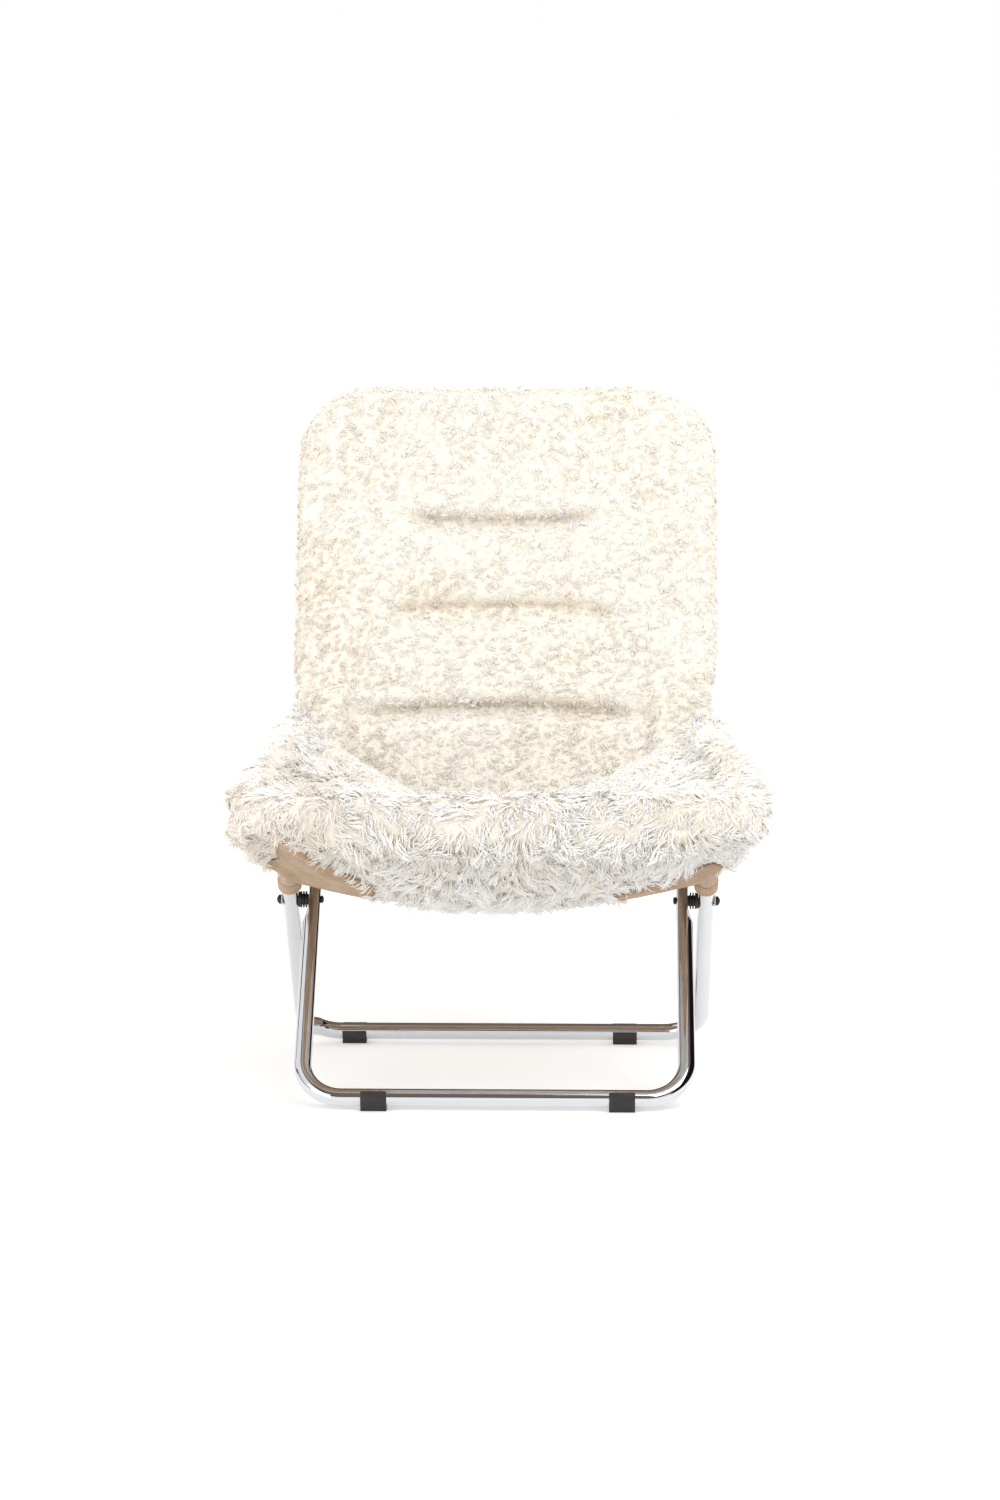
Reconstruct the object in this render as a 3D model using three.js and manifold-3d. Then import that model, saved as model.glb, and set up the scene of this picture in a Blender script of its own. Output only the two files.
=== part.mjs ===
// Folding saucer chair, in millimetres, +Z up, with its front towards -Y.
// Two loops of chromed tube cross at one pivot line. The inner loop is the front floor rail, its two
// uprights and the back hoop. The outer loop is the rear floor rail, its uprights and the seat hoop.
// A padded fur cover on a suede sling hangs between the two hoops and holds the legs apart.

import * as THREE from "three";
import { mergeVertices } from "three/addons/utils/BufferGeometryUtils.js";
import Module from "manifold-3d";

const wasm = await Module();
wasm.setup();

// Tube stock, and the gap kept between pieces that touch
const tubeRadius = 11;
const tubeWall = 1.2;
const seatGap = 0.3;
const overrun = 2;

// The two loops, measured between tube centrelines and from the pivot line
const innerLoopWidth = 476;
const outerLoopWidth = 530;
const pivotHeight = 228;
const railSetback = 215;
const railBendRadius = 50;
const kneeBendRadius = 120;
const footDrop = 4.5;

// Back hoop
const backKneeReach = 95;
const backLeanDegrees = 22;
const backHoopHeight = 835;
const backCornerRadius = 62;
const backJointReach = 72;

// Seat hoop
const seatKneeReach = 75;
const seatHoopWidth = 600;
const seatCornerReach = 310;
const seatFrontReach = 335;
const seatFrontHeight = 384;
const seatCornerRadius = 70;
const seatBowRadius = 1900;
const seatJointReach = 70;

// Tube joints
const spigotLength = 60;
const spigotWall = 1.5;
const screwRadius = 2;
const screwLength = 8;
const screwHeadRadius = 4;
const screwHeadHeight = 2.2;
const screwSetback = 15;

// Pivots, where the tubes are pressed flat
const innerPressDepth = 7;
const outerPressDepth = 2;
const pressHalfLength = 16;
const pressRamp = 20;
const boltRadius = 4;
const boltHeadRadius = 5;
const boltHeadHeight = 3.3;
const spacerRadius = 7;
const flangeRadius = 10;
const flangeThickness = 3;
const washerRadius = 8;
const washerThickness = 1.2;
const nutRadius = 6;
const nutHeight = 6;
const nutWall = 1.8;

// Foot clips
const footWidth = 32;
const footWall = 2.6;
const footSoleHalf = 9;
const footOuterLip = Math.PI / 4;
const footInnerLip = (17 * Math.PI) / 18;
const frontFootPlaces = { left: -148, right: 158 };
const rearFootPlaces = { left: -198, right: 164 };

// Cover
const padMargin = 24;
const backSideTuck = 2;
const creaseClearance = 2.4;
const rollHalfThickness = 42;
const seatHalfThickness = 25;
const creaseHalfThickness = 18;
const rollGrooveDepth = 8;
const padParting = 4;
const backHalfThickness = 24;
const backSag = 34;
const backCrown = 7;
const channelDepth = 19;
const channelHalfWidth = 20;
const channelHeights = [448, 572, 696];
const channelHalfLengths = [180, 150, 122];
const channelBows = [9, 5, -7];
const wingTopHeight = 458;
const wingHalfThickness = 14;
const wingSetback = 20;
const wingRise = 30;
const wingPivotReach = 30;
const slingThickness = 3;
const slingInset = 13;
const sleeveWall = 4;
const sleeveStart = 20;
const sleeveEnd = 45;

// Shapes of the cover's curves, as shares or powers of shares
const edgeShares = [0, 0.08, 0.4, 1];
const hangPowerShare = 1.5;
const sagPowerShare = 0.7;
const sagReachShare = 0.5;
const swellStartShare = 1.1;
const groovePlaceShare = 0.62;
const grooveWidthShare = 0.22;
const channelFadeShares = [0.72, 1.08];
const cornerRowShares = [0.25, 0.55, 0.8];
const channelRowShares = [-1, -0.5, 0, 0.5, 1];
const aboveChannelsShare = 0.6;
const seatRowShares = [1, 1.5, 2, 2.7, 3.5, 4.3, 4.9, 5.2, 5.4, 5.6, 5.8];
const seatSlingRowShares = [0.6, 1, 1.5, 2, 2.5, 3, 3.5, 4];
const seatSlingColumnShares = [-1, -0.8, -0.5, -0.17, 0.17, 0.5, 0.8, 1];
const backSlingRowShares = [0, 0.125, 0.25, 0.375, 0.5, 0.625, 0.75, 0.875, 1];
const backSlingColumnShares = [-1, -0.75, -0.5, -0.17, 0.17, 0.5, 0.75, 1];
const wingRowShares = [0, 0.03, 0.1, 0.25, 0.4, 0.55, 0.7, 0.85, 0.95, 1];
const wingColumnShares = [-1, -0.6, -0.2, 0.2, 0.5, 0.75, 0.9, 0.97, 1];

// Facets
const tubeSides = 14;
const boreSides = 10;
const turnedSides = 16;
const screwSides = 8;
const middleColumns = 5;
const bendStep = Math.PI / 15;
const leastBendSteps = 2;
const weldShare = 1e-4;
const stepShare = 0.02;
const insideShare = 1 - stepShare;

const upX = new THREE.Vector3(1, 0, 0);
const tan = Math.tan;
const radians = THREE.MathUtils.degToRad;
const mix = THREE.MathUtils.lerp;
const boreRadius = tubeRadius - tubeWall;
const sides = { left: -1, right: 1 };

const finishes = {
  chrome: { color: 0xc8ccd2, metalness: 1, roughness: 0.12 },
  zinc: { color: 0xa9adb0, metalness: 1, roughness: 0.4 },
  blackSteel: { color: 0x25221f, metalness: 0.6, roughness: 0.45 },
  blackPlastic: { color: 0x2d2826, metalness: 0, roughness: 0.6 },
  nylon: { color: 0xe4e0d6, metalness: 0, roughness: 0.5 },
  fur: { color: 0xf5ecdc, metalness: 0, roughness: 1 },
  suede: { color: 0xc4a787, metalness: 0, roughness: 0.95 },
};

function node(name, geometry, finish) {
  const mesh = new THREE.Mesh(geometry, new THREE.MeshStandardMaterial(finishes[finish]));
  mesh.name = name;
  return mesh;
}

// Solids: a closed geometry becomes a solid that can be joined and cut, and comes back as a geometry

function solidOf(geometry) {
  const bare = geometry.clone();
  bare.deleteAttribute("normal");
  bare.deleteAttribute("uv");
  const merged = mergeVertices(bare, weldShare);
  return new wasm.Manifold(
    new wasm.Mesh({
      numProp: 3,
      vertProperties: new Float32Array(merged.attributes.position.array),
      triVerts: new Uint32Array(merged.index.array),
    }),
  );
}

function geometryOf(solid) {
  const mesh = solid.getMesh();
  const geometry = new THREE.BufferGeometry();
  geometry.setAttribute("position", new THREE.BufferAttribute(mesh.vertProperties, 3));
  geometry.setIndex(new THREE.BufferAttribute(mesh.triVerts, 1));
  geometry.computeVertexNormals();
  return geometry;
}

// Cuts the tools out of a piece and keeps its main body, without the offcuts
function trimmed(geometry, tools) {
  const cut = tools.reduce((solid, tool) => solid.subtract(solidOf(tool)), solidOf(geometry));
  const bodies = cut.decompose().sort((a, b) => b.volume() - a.volume());
  return geometryOf(bodies[0]);
}

// Bent tube: corners with bend radii become stations, one at each end of a straight and a few in each bend

function bentPath(corners) {
  const stations = [];
  corners.forEach(({ at, radius = 0 }, i) => {
    const before = i > 0 && at.clone().sub(corners[i - 1].at).normalize();
    const after = i < corners.length - 1 && corners[i + 1].at.clone().sub(at).normalize();
    if (!radius || !before || !after) {
      stations.push({ point: at.clone(), tangent: (after || before).clone() });
      return;
    }
    const turn = before.angleTo(after);
    const axis = new THREE.Vector3().crossVectors(before, after).normalize();
    const inward = new THREE.Vector3().crossVectors(axis, before);
    const start = at.clone().addScaledVector(before, -radius * tan(turn / 2));
    const centre = start.clone().addScaledVector(inward, radius);
    const spoke = start.clone().sub(centre);
    const steps = Math.max(leastBendSteps, Math.ceil(turn / bendStep));
    for (let k = 0; k <= steps; k += 1) {
      const angle = (turn * k) / steps;
      stations.push({
        point: spoke.clone().applyAxisAngle(axis, angle).add(centre),
        tangent: before.clone().applyAxisAngle(axis, angle),
      });
    }
  });
  return new BentPath(stations);
}

class BentPath extends THREE.Curve {
  constructor(stations) {
    super();
    this.stations = stations;
    this.steps = stations.length - 1;
  }

  getPointAt(share) {
    return this.stations[Math.round(share * this.steps)].point.clone();
  }

  getTangentAt(share) {
    return this.stations[Math.round(share * this.steps)].tangent.clone();
  }
}

function ring(radius, count) {
  return Array.from({ length: count }, (_, i) => {
    const angle = (2 * Math.PI * i) / count;
    return new THREE.Vector2(radius * Math.cos(angle), radius * Math.sin(angle));
  });
}

function tubeAlong(path, outer, inner, outerSides = tubeSides, innerSides = boreSides) {
  const section = new THREE.Shape(ring(outer, outerSides));
  if (inner) section.holes.push(new THREE.Path(ring(inner, innerSides)));
  return new THREE.ExtrudeGeometry(section, {
    steps: path.steps,
    extrudePath: path,
    bevelEnabled: false,
  });
}

// A solid of revolution about X, from a profile of [distance along X, radius] pairs
function turnedAlongX(profile, count = turnedSides) {
  const points = profile.map(([along, radius]) => new THREE.Vector2(radius, along));
  return new THREE.LatheGeometry(points, count).rotateZ(-Math.PI / 2);
}

// The frame's lines, in the plane of one side. Y and Z are taken from the floor under the pivot line.

const railHeight = footDrop + tubeRadius;
const legRise = pivotHeight - railHeight;
const legLength = Math.hypot(railSetback, legRise);
const pivotLine = { y: 0, z: pivotHeight };
const upBack = { y: railSetback / legLength, z: legRise / legLength };
const upFront = { y: -upBack.y, z: upBack.z };
const backLean = { y: Math.sin(radians(backLeanDegrees)), z: Math.cos(radians(backLeanDegrees)) };

function along(origin, direction, distance) {
  return { y: origin.y + direction.y * distance, z: origin.z + direction.z * distance };
}

const backKnee = along(pivotLine, upBack, backKneeReach);
const backLength = (backHoopHeight - backKnee.z) / backLean.z;
const backTop = along(backKnee, backLean, backLength);
const backJoint = along(backKnee, backLean, backJointReach);
const backSplit = along(backKnee, backLean, backJointReach + seatGap);

const seatKnee = along(pivotLine, upFront, seatKneeReach);
const seatRun = seatFrontReach + seatKnee.y;
const seatSlope = Math.atan2(seatFrontHeight - seatKnee.z, seatRun);
const seatRise = { y: -Math.cos(seatSlope), z: Math.sin(seatSlope) };
const seatCorner = along(seatKnee, seatRise, (seatCornerReach + seatKnee.y) / -seatRise.y);
const seatFront = { y: -seatFrontReach, z: seatFrontHeight };
const innerHalf = innerLoopWidth / 2;
const outerHalf = outerLoopWidth / 2;
const seatHoopHalf = seatHoopWidth / 2;

function spot(x, { y, z }) {
  return new THREE.Vector3(x, y, z);
}

// Place and direction on the seat hoop's side, at a distance past the knee
function onSeatSide(side, distance) {
  const from = spot(side * outerHalf, seatKnee);
  const to = spot(side * seatHoopHalf, seatCorner);
  const direction = to.clone().sub(from).normalize();
  return { at: from.addScaledVector(direction, distance), direction };
}

function onBackSide(side, distance) {
  const direction = spot(0, backLean);
  return { at: spot(side * innerHalf, along(backKnee, backLean, distance)), direction };
}

// Corner points of one upright, from its joint down to the corner of its floor rail
function uprightCorners(side, joint, half, knee, rise, railY) {
  const marks = [pressHalfLength + pressRamp, pressHalfLength];
  const above = marks.map((distance) => ({ at: spot(side * half, along(pivotLine, rise, distance)) }));
  const below = marks.map((distance) => ({ at: spot(side * half, along(pivotLine, rise, -distance)) }));
  return [
    { at: joint },
    { at: spot(side * half, knee), radius: kneeBendRadius },
    ...above,
    ...below.reverse(),
    { at: new THREE.Vector3(side * half, railY, railHeight), radius: railBendRadius },
  ];
}

function loopOf(leftHalf, rightHalf) {
  return bentPath([...leftHalf, ...rightHalf.reverse()]);
}

const frontLegPath = loopOf(
  ...[-1, 1].map((side) =>
    uprightCorners(side, onBackSide(side, backJointReach).at, innerHalf, backKnee, upBack, -railSetback),
  ),
);
const rearLegPath = loopOf(
  ...[-1, 1].map((side) =>
    uprightCorners(side, onSeatSide(side, seatJointReach).at, outerHalf, seatKnee, upFront, railSetback),
  ),
);
const backHoopPath = loopOf(
  ...[-1, 1].map((side) => [
    { at: spot(side * innerHalf, backSplit) },
    { at: spot(side * innerHalf, backTop), radius: backCornerRadius },
  ]),
);
const seatHoopPath = bentPath([
  { at: onSeatSide(-1, seatJointReach + seatGap).at },
  { at: spot(-seatHoopHalf, seatCorner), radius: seatCornerRadius },
  { at: spot(0, seatFront), radius: seatBowRadius },
  { at: spot(seatHoopHalf, seatCorner), radius: seatCornerRadius },
  { at: onSeatSide(1, seatJointReach + seatGap).at },
]);

// Presses an upright flat round its pivot. The wall keeps its thickness and leans over to the flat.
function pressFlat(geometry, half, rise, depth, facing) {
  const position = geometry.attributes.position;
  for (let i = 0; i < position.count; i += 1) {
    const x = position.getX(i);
    const y = position.getY(i);
    const z = position.getZ(i) - pivotHeight;
    const from = Math.abs(y * rise.y + z * rise.z);
    const blend = THREE.MathUtils.clamp((pressHalfLength + pressRamp - from) / pressRamp, 0, 1);
    const across = (Math.abs(x) - half) * facing;
    const radius = Math.hypot(across, y * rise.z - z * rise.y);
    const onWall = radius < (tubeRadius + boreRadius) / 2 ? boreRadius : tubeRadius;
    const most = onWall - depth * blend;
    if (radius < 2 * tubeRadius && across > most) position.setX(i, Math.sign(x) * (half + most * facing));
  }
  return geometry;
}

function holeAlongX(centre, radius, length) {
  const hole = new THREE.CylinderGeometry(radius, radius, length, turnedSides).rotateZ(Math.PI / 2);
  return hole.translate(centre.x, centre.y, centre.z);
}

function pivotHoles(half) {
  return Object.values(sides).map((side) =>
    holeAlongX(spot(side * half, pivotLine), boltRadius + seatGap, 3 * tubeRadius),
  );
}

// The joints: a liner inside both tubes and a screw through the hoop's inner wall into the liner

function screwPlace(side, onSide, jointReach) {
  const { at, direction } = onSide(side, jointReach + seatGap + screwSetback);
  return { at, direction, side };
}

const screwHoleRadius = screwRadius + seatGap;
const backScrews = Object.values(sides).map((side) => screwPlace(side, onBackSide, backJointReach));
const seatScrews = Object.values(sides).map((side) => screwPlace(side, onSeatSide, seatJointReach));

// Turns a solid made along X, with its head at the low end, to the tube's inner side at a screw's place
function atScrew({ at, direction, side }, geometry) {
  const outward = upX.clone().multiplyScalar(side);
  const across = outward.clone().addScaledVector(direction, -outward.dot(direction)).normalize();
  const third = new THREE.Vector3().crossVectors(across, direction);
  const turned = new THREE.Matrix4().makeBasis(across, direction, third).setPosition(at);
  return geometry.applyMatrix4(turned);
}

function screwHole(place) {
  const hole = new THREE.CylinderGeometry(screwHoleRadius, screwHoleRadius, tubeRadius, screwSides);
  return atScrew(place, hole.rotateZ(Math.PI / 2).translate(-tubeRadius, 0, 0));
}

function screwGeometry(place, grow = 0) {
  const under = -(tubeRadius + seatGap);
  const top = under - screwHeadHeight - grow;
  const profile = [
    [top, 0],
    [top, (screwHeadRadius + grow) / 2],
    [under - screwHeadHeight / 2, screwHeadRadius + grow],
    [under + grow, screwHeadRadius + grow],
    [under + grow, screwRadius],
    [under + screwLength, screwRadius],
    [under + screwLength, 0],
  ];
  return atScrew(place, turnedAlongX(profile, screwSides));
}

function spigotGeometry(side, onSide, jointReach, place) {
  const ends = [-1, 1].map((end) => onSide(side, jointReach + (end * spigotLength) / 2).at);
  const path = bentPath(ends.map((at) => ({ at })));
  const outer = boreRadius - seatGap;
  const liner = tubeAlong(path, outer, outer - spigotWall, boreSides, boreSides);
  return trimmed(liner, [screwHole(place)]);
}

function frameTube(path, half, rise, depth, facing) {
  const stock = tubeAlong(path, tubeRadius, boreRadius);
  return trimmed(pressFlat(stock, half, rise, depth, facing), pivotHoles(half));
}

function hoopTube(path, screws) {
  return trimmed(tubeAlong(path, tubeRadius, boreRadius), screws.map(screwHole));
}

// Pivots, from the bolt's head inside the inner tube to the domed nut outside the outer tube

const innerFace = innerHalf - tubeRadius - seatGap;
const innerFlat = innerHalf + tubeRadius - innerPressDepth;
const outerFlat = outerHalf - tubeRadius + outerPressDepth;
const outerFace = outerHalf + tubeRadius;
const washerFace = outerFace + seatGap;
const nutFace = washerFace + washerThickness + seatGap;
const boltEnd = nutFace + nutHeight - nutWall - seatGap;
const looseRadius = boltRadius + seatGap;

const pivotPieces = {
  pivot_bolt: {
    finish: "blackSteel",
    profile: [
      [innerFace - boltHeadHeight, 0],
      [innerFace - boltHeadHeight, boltHeadRadius / 2],
      [innerFace - boltHeadHeight / 2, boltHeadRadius],
      [innerFace, boltHeadRadius],
      [innerFace, boltRadius],
      [boltEnd, boltRadius],
      [boltEnd, 0],
    ],
  },
  pivot_spacer: {
    finish: "blackPlastic",
    profile: [
      [innerFlat + seatGap, looseRadius],
      [innerFlat + seatGap, spacerRadius],
      [outerFlat - seatGap - flangeThickness, spacerRadius],
      [outerFlat - seatGap - flangeThickness, flangeRadius],
      [outerFlat - seatGap, flangeRadius],
      [outerFlat - seatGap, looseRadius],
      [innerFlat + seatGap, looseRadius],
    ],
  },
  pivot_washer: {
    finish: "nylon",
    profile: [
      [washerFace, looseRadius],
      [washerFace, washerRadius],
      [washerFace + washerThickness, washerRadius],
      [washerFace + washerThickness, looseRadius],
      [washerFace, looseRadius],
    ],
  },
  pivot_nut: {
    finish: "blackSteel",
    profile: [
      [nutFace, looseRadius],
      [nutFace, nutRadius],
      [nutFace + nutHeight / 2, nutRadius],
      [nutFace + nutHeight - nutWall / 2, nutRadius / 2],
      [nutFace + nutHeight, 0],
      [nutFace + nutHeight - nutWall, 0],
      [nutFace + nutHeight - nutWall, looseRadius],
      [nutFace, looseRadius],
    ],
  },
};

function pivotNodes(sideName) {
  return Object.entries(pivotPieces).map(([name, { finish, profile }]) => {
    const piece = node(`${name}_${sideName}`, turnedAlongX(profile), finish);
    piece.position.set(0, pivotLine.y, pivotLine.z);
    if (sides[sideName] < 0) piece.rotation.z = Math.PI;
    return piece;
  });
}

// A foot clip's section: it cradles the tube from below, with its outer lip higher than its inner one,
// and has a flat sole. Outward is +X and up is +Y in the section.
function footGeometry() {
  const snug = (tubeRadius + seatGap) / Math.cos(Math.PI / turnedSides);
  const outer = snug + footWall;
  const soleDrop = -railHeight;
  const shape = new THREE.Shape();
  shape.moveTo(outer * Math.cos(footOuterLip), outer * Math.sin(footOuterLip));
  shape.absarc(0, 0, outer, footOuterLip, -Math.PI / 4, true);
  shape.lineTo(footSoleHalf, soleDrop);
  shape.lineTo(-footSoleHalf, soleDrop);
  shape.absarc(0, 0, outer, (-3 * Math.PI) / 4, footInnerLip - 2 * Math.PI, true);
  shape.lineTo(snug * Math.cos(footInnerLip), snug * Math.sin(footInnerLip));
  shape.absarc(0, 0, snug, footInnerLip - 2 * Math.PI, footOuterLip, false);
  const clip = new THREE.ExtrudeGeometry(shape, {
    depth: footWidth,
    bevelEnabled: false,
    curveSegments: turnedSides / 2,
  });
  return clip.translate(0, 0, -footWidth / 2);
}

// outward is -1 for the front rail and 1 for the rear rail
function footNode(name, x, outward) {
  const foot = node(name, footGeometry(), "blackPlastic");
  const basis = new THREE.Matrix4().makeBasis(
    new THREE.Vector3(0, outward, 0),
    new THREE.Vector3(0, 0, 1),
    new THREE.Vector3(outward, 0, 0),
  );
  foot.quaternion.setFromRotationMatrix(basis);
  foot.position.set(x, outward * railSetback, railHeight);
  return foot;
}

// Soft pieces. A layer gives, for a row and a share across the row, a place and the two skins' offsets
// from it. The grid of both skins closes along its border, where a cushion's skins meet.

function gridGeometry(rows, columns, upper, lower, pinched) {
  const points = [];
  const upperIndex = [];
  const lowerIndex = [];
  const last = { row: rows.length - 1, column: columns.length - 1 };
  rows.forEach((row, j) => {
    upperIndex.push([]);
    lowerIndex.push([]);
    columns.forEach((column, i) => {
      const border = j === 0 || i === 0 || j === last.row || i === last.column;
      upperIndex[j].push(points.push(upper(row, column)) - 1);
      const shared = pinched && border;
      lowerIndex[j].push(shared ? upperIndex[j][i] : points.push(lower(row, column)) - 1);
    });
  });
  const faces = [];
  const quad = (a, b, c, d, turned) => {
    if (turned) faces.push(b, c, d, b, d, a);
    else faces.push(a, b, c, a, c, d);
  };
  for (let j = 0; j < last.row; j += 1) {
    for (let i = 0; i < last.column; i += 1) {
      const turned = j < last.row / 2 !== i < last.column / 2;
      const corners = [[j, i], [j, i + 1], [j + 1, i + 1], [j + 1, i]];
      quad(...corners.map(([r, c]) => upperIndex[r][c]), turned);
      const [a, b, c, d] = corners.map(([r, k]) => lowerIndex[r][k]);
      if (turned) faces.push(b, a, d, b, d, c);
      else faces.push(a, d, c, a, c, b);
    }
  }
  if (!pinched) wallFaces(upperIndex, lowerIndex, last, quad);
  const geometry = new THREE.BufferGeometry();
  const flat = points.flatMap((point) => point.toArray());
  geometry.setAttribute("position", new THREE.Float32BufferAttribute(flat, 3));
  return facingOut(geometry, faces, points);
}

// Sets the faces of a closed geometry, all turned round if they enclose a negative volume
function facingOut(geometry, faces, points) {
  let volume = 0;
  for (let i = 0; i < faces.length; i += 3) {
    const [a, b, c] = faces.slice(i, i + 3).map((index) => points[index]);
    volume += a.dot(b.clone().cross(c));
  }
  const turned = faces.map((index, i) => faces[i - (i % 3) + 2 - (i % 3)]);
  return geometry.setIndex(volume < 0 ? turned : faces);
}

// Joins the two skins of a sheet along its border
function wallFaces(upperIndex, lowerIndex, last, quad) {
  for (let i = 0; i < last.column; i += 1) {
    quad(lowerIndex[0][i], lowerIndex[0][i + 1], upperIndex[0][i + 1], upperIndex[0][i]);
    const end = last.row;
    quad(upperIndex[end][i], upperIndex[end][i + 1], lowerIndex[end][i + 1], lowerIndex[end][i]);
  }
  for (let j = 0; j < last.row; j += 1) {
    quad(upperIndex[j][0], upperIndex[j + 1][0], lowerIndex[j + 1][0], lowerIndex[j][0]);
    const end = last.column;
    quad(lowerIndex[j][end], lowerIndex[j + 1][end], upperIndex[j + 1][end], upperIndex[j][end]);
  }
}

// The normal of a layer, from small steps along it
function normalOf(place, row, share) {
  const column = THREE.MathUtils.clamp(share, -insideShare, insideShare);
  const a = place(row - stepShare, column);
  const b = place(row + stepShare, column);
  const c = place(row, column - stepShare);
  const d = place(row, column + stepShare);
  return new THREE.Vector3().crossVectors(d.sub(c), b.sub(a)).normalize();
}

// How full a cushion is near its edge: a round section, from 0 at the edge to 1 at one thickness in
function roundedShare(distance, thickness) {
  const inward = 1 - Math.min(1, Math.max(0, distance / thickness));
  return Math.sqrt(1 - inward * inward);
}

// Columns of a cushion as shares across its half width, closer together in its rounded sides
function cushionColumns(sideShare) {
  const outer = edgeShares.map((share) => 1 - share * sideShare);
  const spacing = (2 * (1 - sideShare)) / (middleColumns + 1);
  const middle = Array.from({ length: middleColumns }, (_, i) => 1 - sideShare - spacing * (i + 1));
  return [...outer, ...middle, ...outer.map((share) => -share).reverse()].reverse();
}

// Seat. Its middle layer runs from the crease under the back to the front roll. Places are shares of
// the seat hoop's reach and rise from the pivot, and side widths are shares of its half widths. The
// crease fits between the heads of the two pivot bolts.
const seatHeightRise = seatFrontHeight - pivotHeight;
const creaseHalfWidth = innerFace - boltHeadHeight - creaseClearance;
const seatMiddleShares = [
  [0.239, 0.577],
  [0.075, 0.288],
  [-0.179, 0.179],
  [-0.418, 0.205],
  [-0.642, 0.359],
  [-0.836, 0.609],
  [-0.994, 0.897],
  [-1.096, 1.07],
];
const seatSideShares = [
  { widthShare: 0.93, place: [0.245, 0.59] },
  { widthShare: 0.995, place: [0.084, 0.353] },
  { widthShare: 1.01, place: [-0.09, 0.32] },
];
const seatBorderShares = [0.23, 0.56, 0.86];

function seatMiddlePoint([yShare, zShare]) {
  return new THREE.Vector3(0, yShare * seatFrontReach, pivotHeight + zShare * seatHeightRise);
}

function seatSidePoints() {
  const crease = seatSideShares.map(({ widthShare, place }) =>
    seatMiddlePoint(place).setX(widthShare * creaseHalfWidth),
  );
  const sideLength = onSeatSide(1, 0).at.distanceTo(spot(seatHoopHalf, seatCorner));
  const border = seatBorderShares.map((share) => {
    const { at } = onSeatSide(1, share * sideLength);
    return at.setX(at.x + padMargin);
  });
  const corner = spot(seatHoopHalf, seatCorner);
  const cornerCut = seatCornerRadius * (1 - Math.SQRT1_2);
  const rounded = corner.clone().add(new THREE.Vector3(padMargin - cornerCut, cornerCut - padMargin, 0));
  const front = corner.clone().add(
    new THREE.Vector3(-seatCornerRadius, -rollHalfThickness, rollHalfThickness * seatRise.z),
  );
  return [...crease, ...border, rounded, front];
}

const seatMiddleCurve = new THREE.CatmullRomCurve3(seatMiddleShares.map(seatMiddlePoint));
const seatSideCurve = new THREE.CatmullRomCurve3(seatSidePoints());
const seatKnots = seatMiddleShares.length - 1;
const rollKnot = seatKnots - 1;
const rollSpan = seatMiddleCurve.getPoint(rollKnot / seatKnots).distanceTo(seatMiddleCurve.getPoint(1));
const creaseSpan = seatMiddleCurve.getPoint(1 / seatKnots).distanceTo(seatMiddleCurve.getPoint(0));

// The place of the seat's middle layer: row counts knots from the crease, share runs from side to side
function seatLayer(row, share) {
  const t = THREE.MathUtils.clamp(row / seatKnots, 0, 1);
  const middle = seatMiddleCurve.getPoint(t);
  const side = seatSideCurve.getPoint(t);
  const hang = Math.max(0, 1 - share * share) ** hangPowerShare;
  return new THREE.Vector3(share * side.x, mix(side.y, middle.y, hang), mix(side.z, middle.z, hang));
}

// How thick the seat is to either side of its middle layer, away from its edges
function seatHalf(row, underside) {
  const swell = THREE.MathUtils.smoothstep(row, rollKnot - swellStartShare, rollKnot);
  const thin = THREE.MathUtils.smoothstep(row, 0, 2);
  const even = mix(creaseHalfThickness, seatHalfThickness, thin);
  const groove = Math.exp(-(((row - rollKnot + groovePlaceShare) / grooveWidthShare) ** 2));
  return mix(even, rollHalfThickness, swell) - (underside ? rollGrooveDepth * groove : 0);
}

function seatOffset(row, share, underside, grow) {
  const half = seatHalf(row, underside);
  const sideWidth = seatSideCurve.getPoint(THREE.MathUtils.clamp(row / seatKnots, 0, 1)).x;
  const toSide = (1 - Math.abs(share)) * sideWidth;
  const toFront = (seatKnots - row) * rollSpan;
  const toRear = row * creaseSpan;
  const ends = roundedShare(toFront, rollHalfThickness) * roundedShare(toRear, creaseHalfThickness);
  return half * roundedShare(toSide, half) * ends + grow;
}

function seatSkin(underside, grow = 0) {
  return (row, share) => {
    const place = seatLayer(row, share);
    const inside = THREE.MathUtils.clamp(row, stepShare, seatKnots - stepShare);
    const up = normalOf(seatLayer, inside, share).negate();
    return place.addScaledVector(up, (underside ? -1 : 1) * seatOffset(row, share, underside, grow));
  };
}

const creaseRows = edgeShares.map((share) => (share * creaseHalfThickness) / creaseSpan);
const rollRows = edgeShares.map((share) => seatKnots - (share * rollHalfThickness) / rollSpan).reverse();
const seatRows = [...creaseRows, ...seatRowShares, ...rollRows];
const seatColumns = cushionColumns(seatHalfThickness / (seatHoopHalf + padMargin));

function seatCushion(grow = 0) {
  return gridGeometry(seatRows, seatColumns, seatSkin(false, grow), seatSkin(true, grow), !grow);
}

// A suede sheet that follows a cushion's skin from outside
function sheetUnder(rows, columns, skinAt, cushion) {
  const sheet = gridGeometry(rows, columns, skinAt(-overrun), skinAt(seatGap + slingThickness), false);
  return trimmed(sheet, [cushion]);
}

function seatSlingGeometry() {
  const reach = outerHalf - tubeRadius - sleeveWall - 2 * seatGap;
  const skinAt = (grow) => (row, share) => {
    const sideWidth = seatSideCurve.getPoint(row / seatKnots).x;
    const width = Math.min(reach, sideWidth - slingInset);
    return seatSkin(true, grow)(row, (share * width) / sideWidth);
  };
  return sheetUnder(seatSlingRowShares, seatSlingColumnShares, skinAt, seatCushion(seatGap));
}

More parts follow.
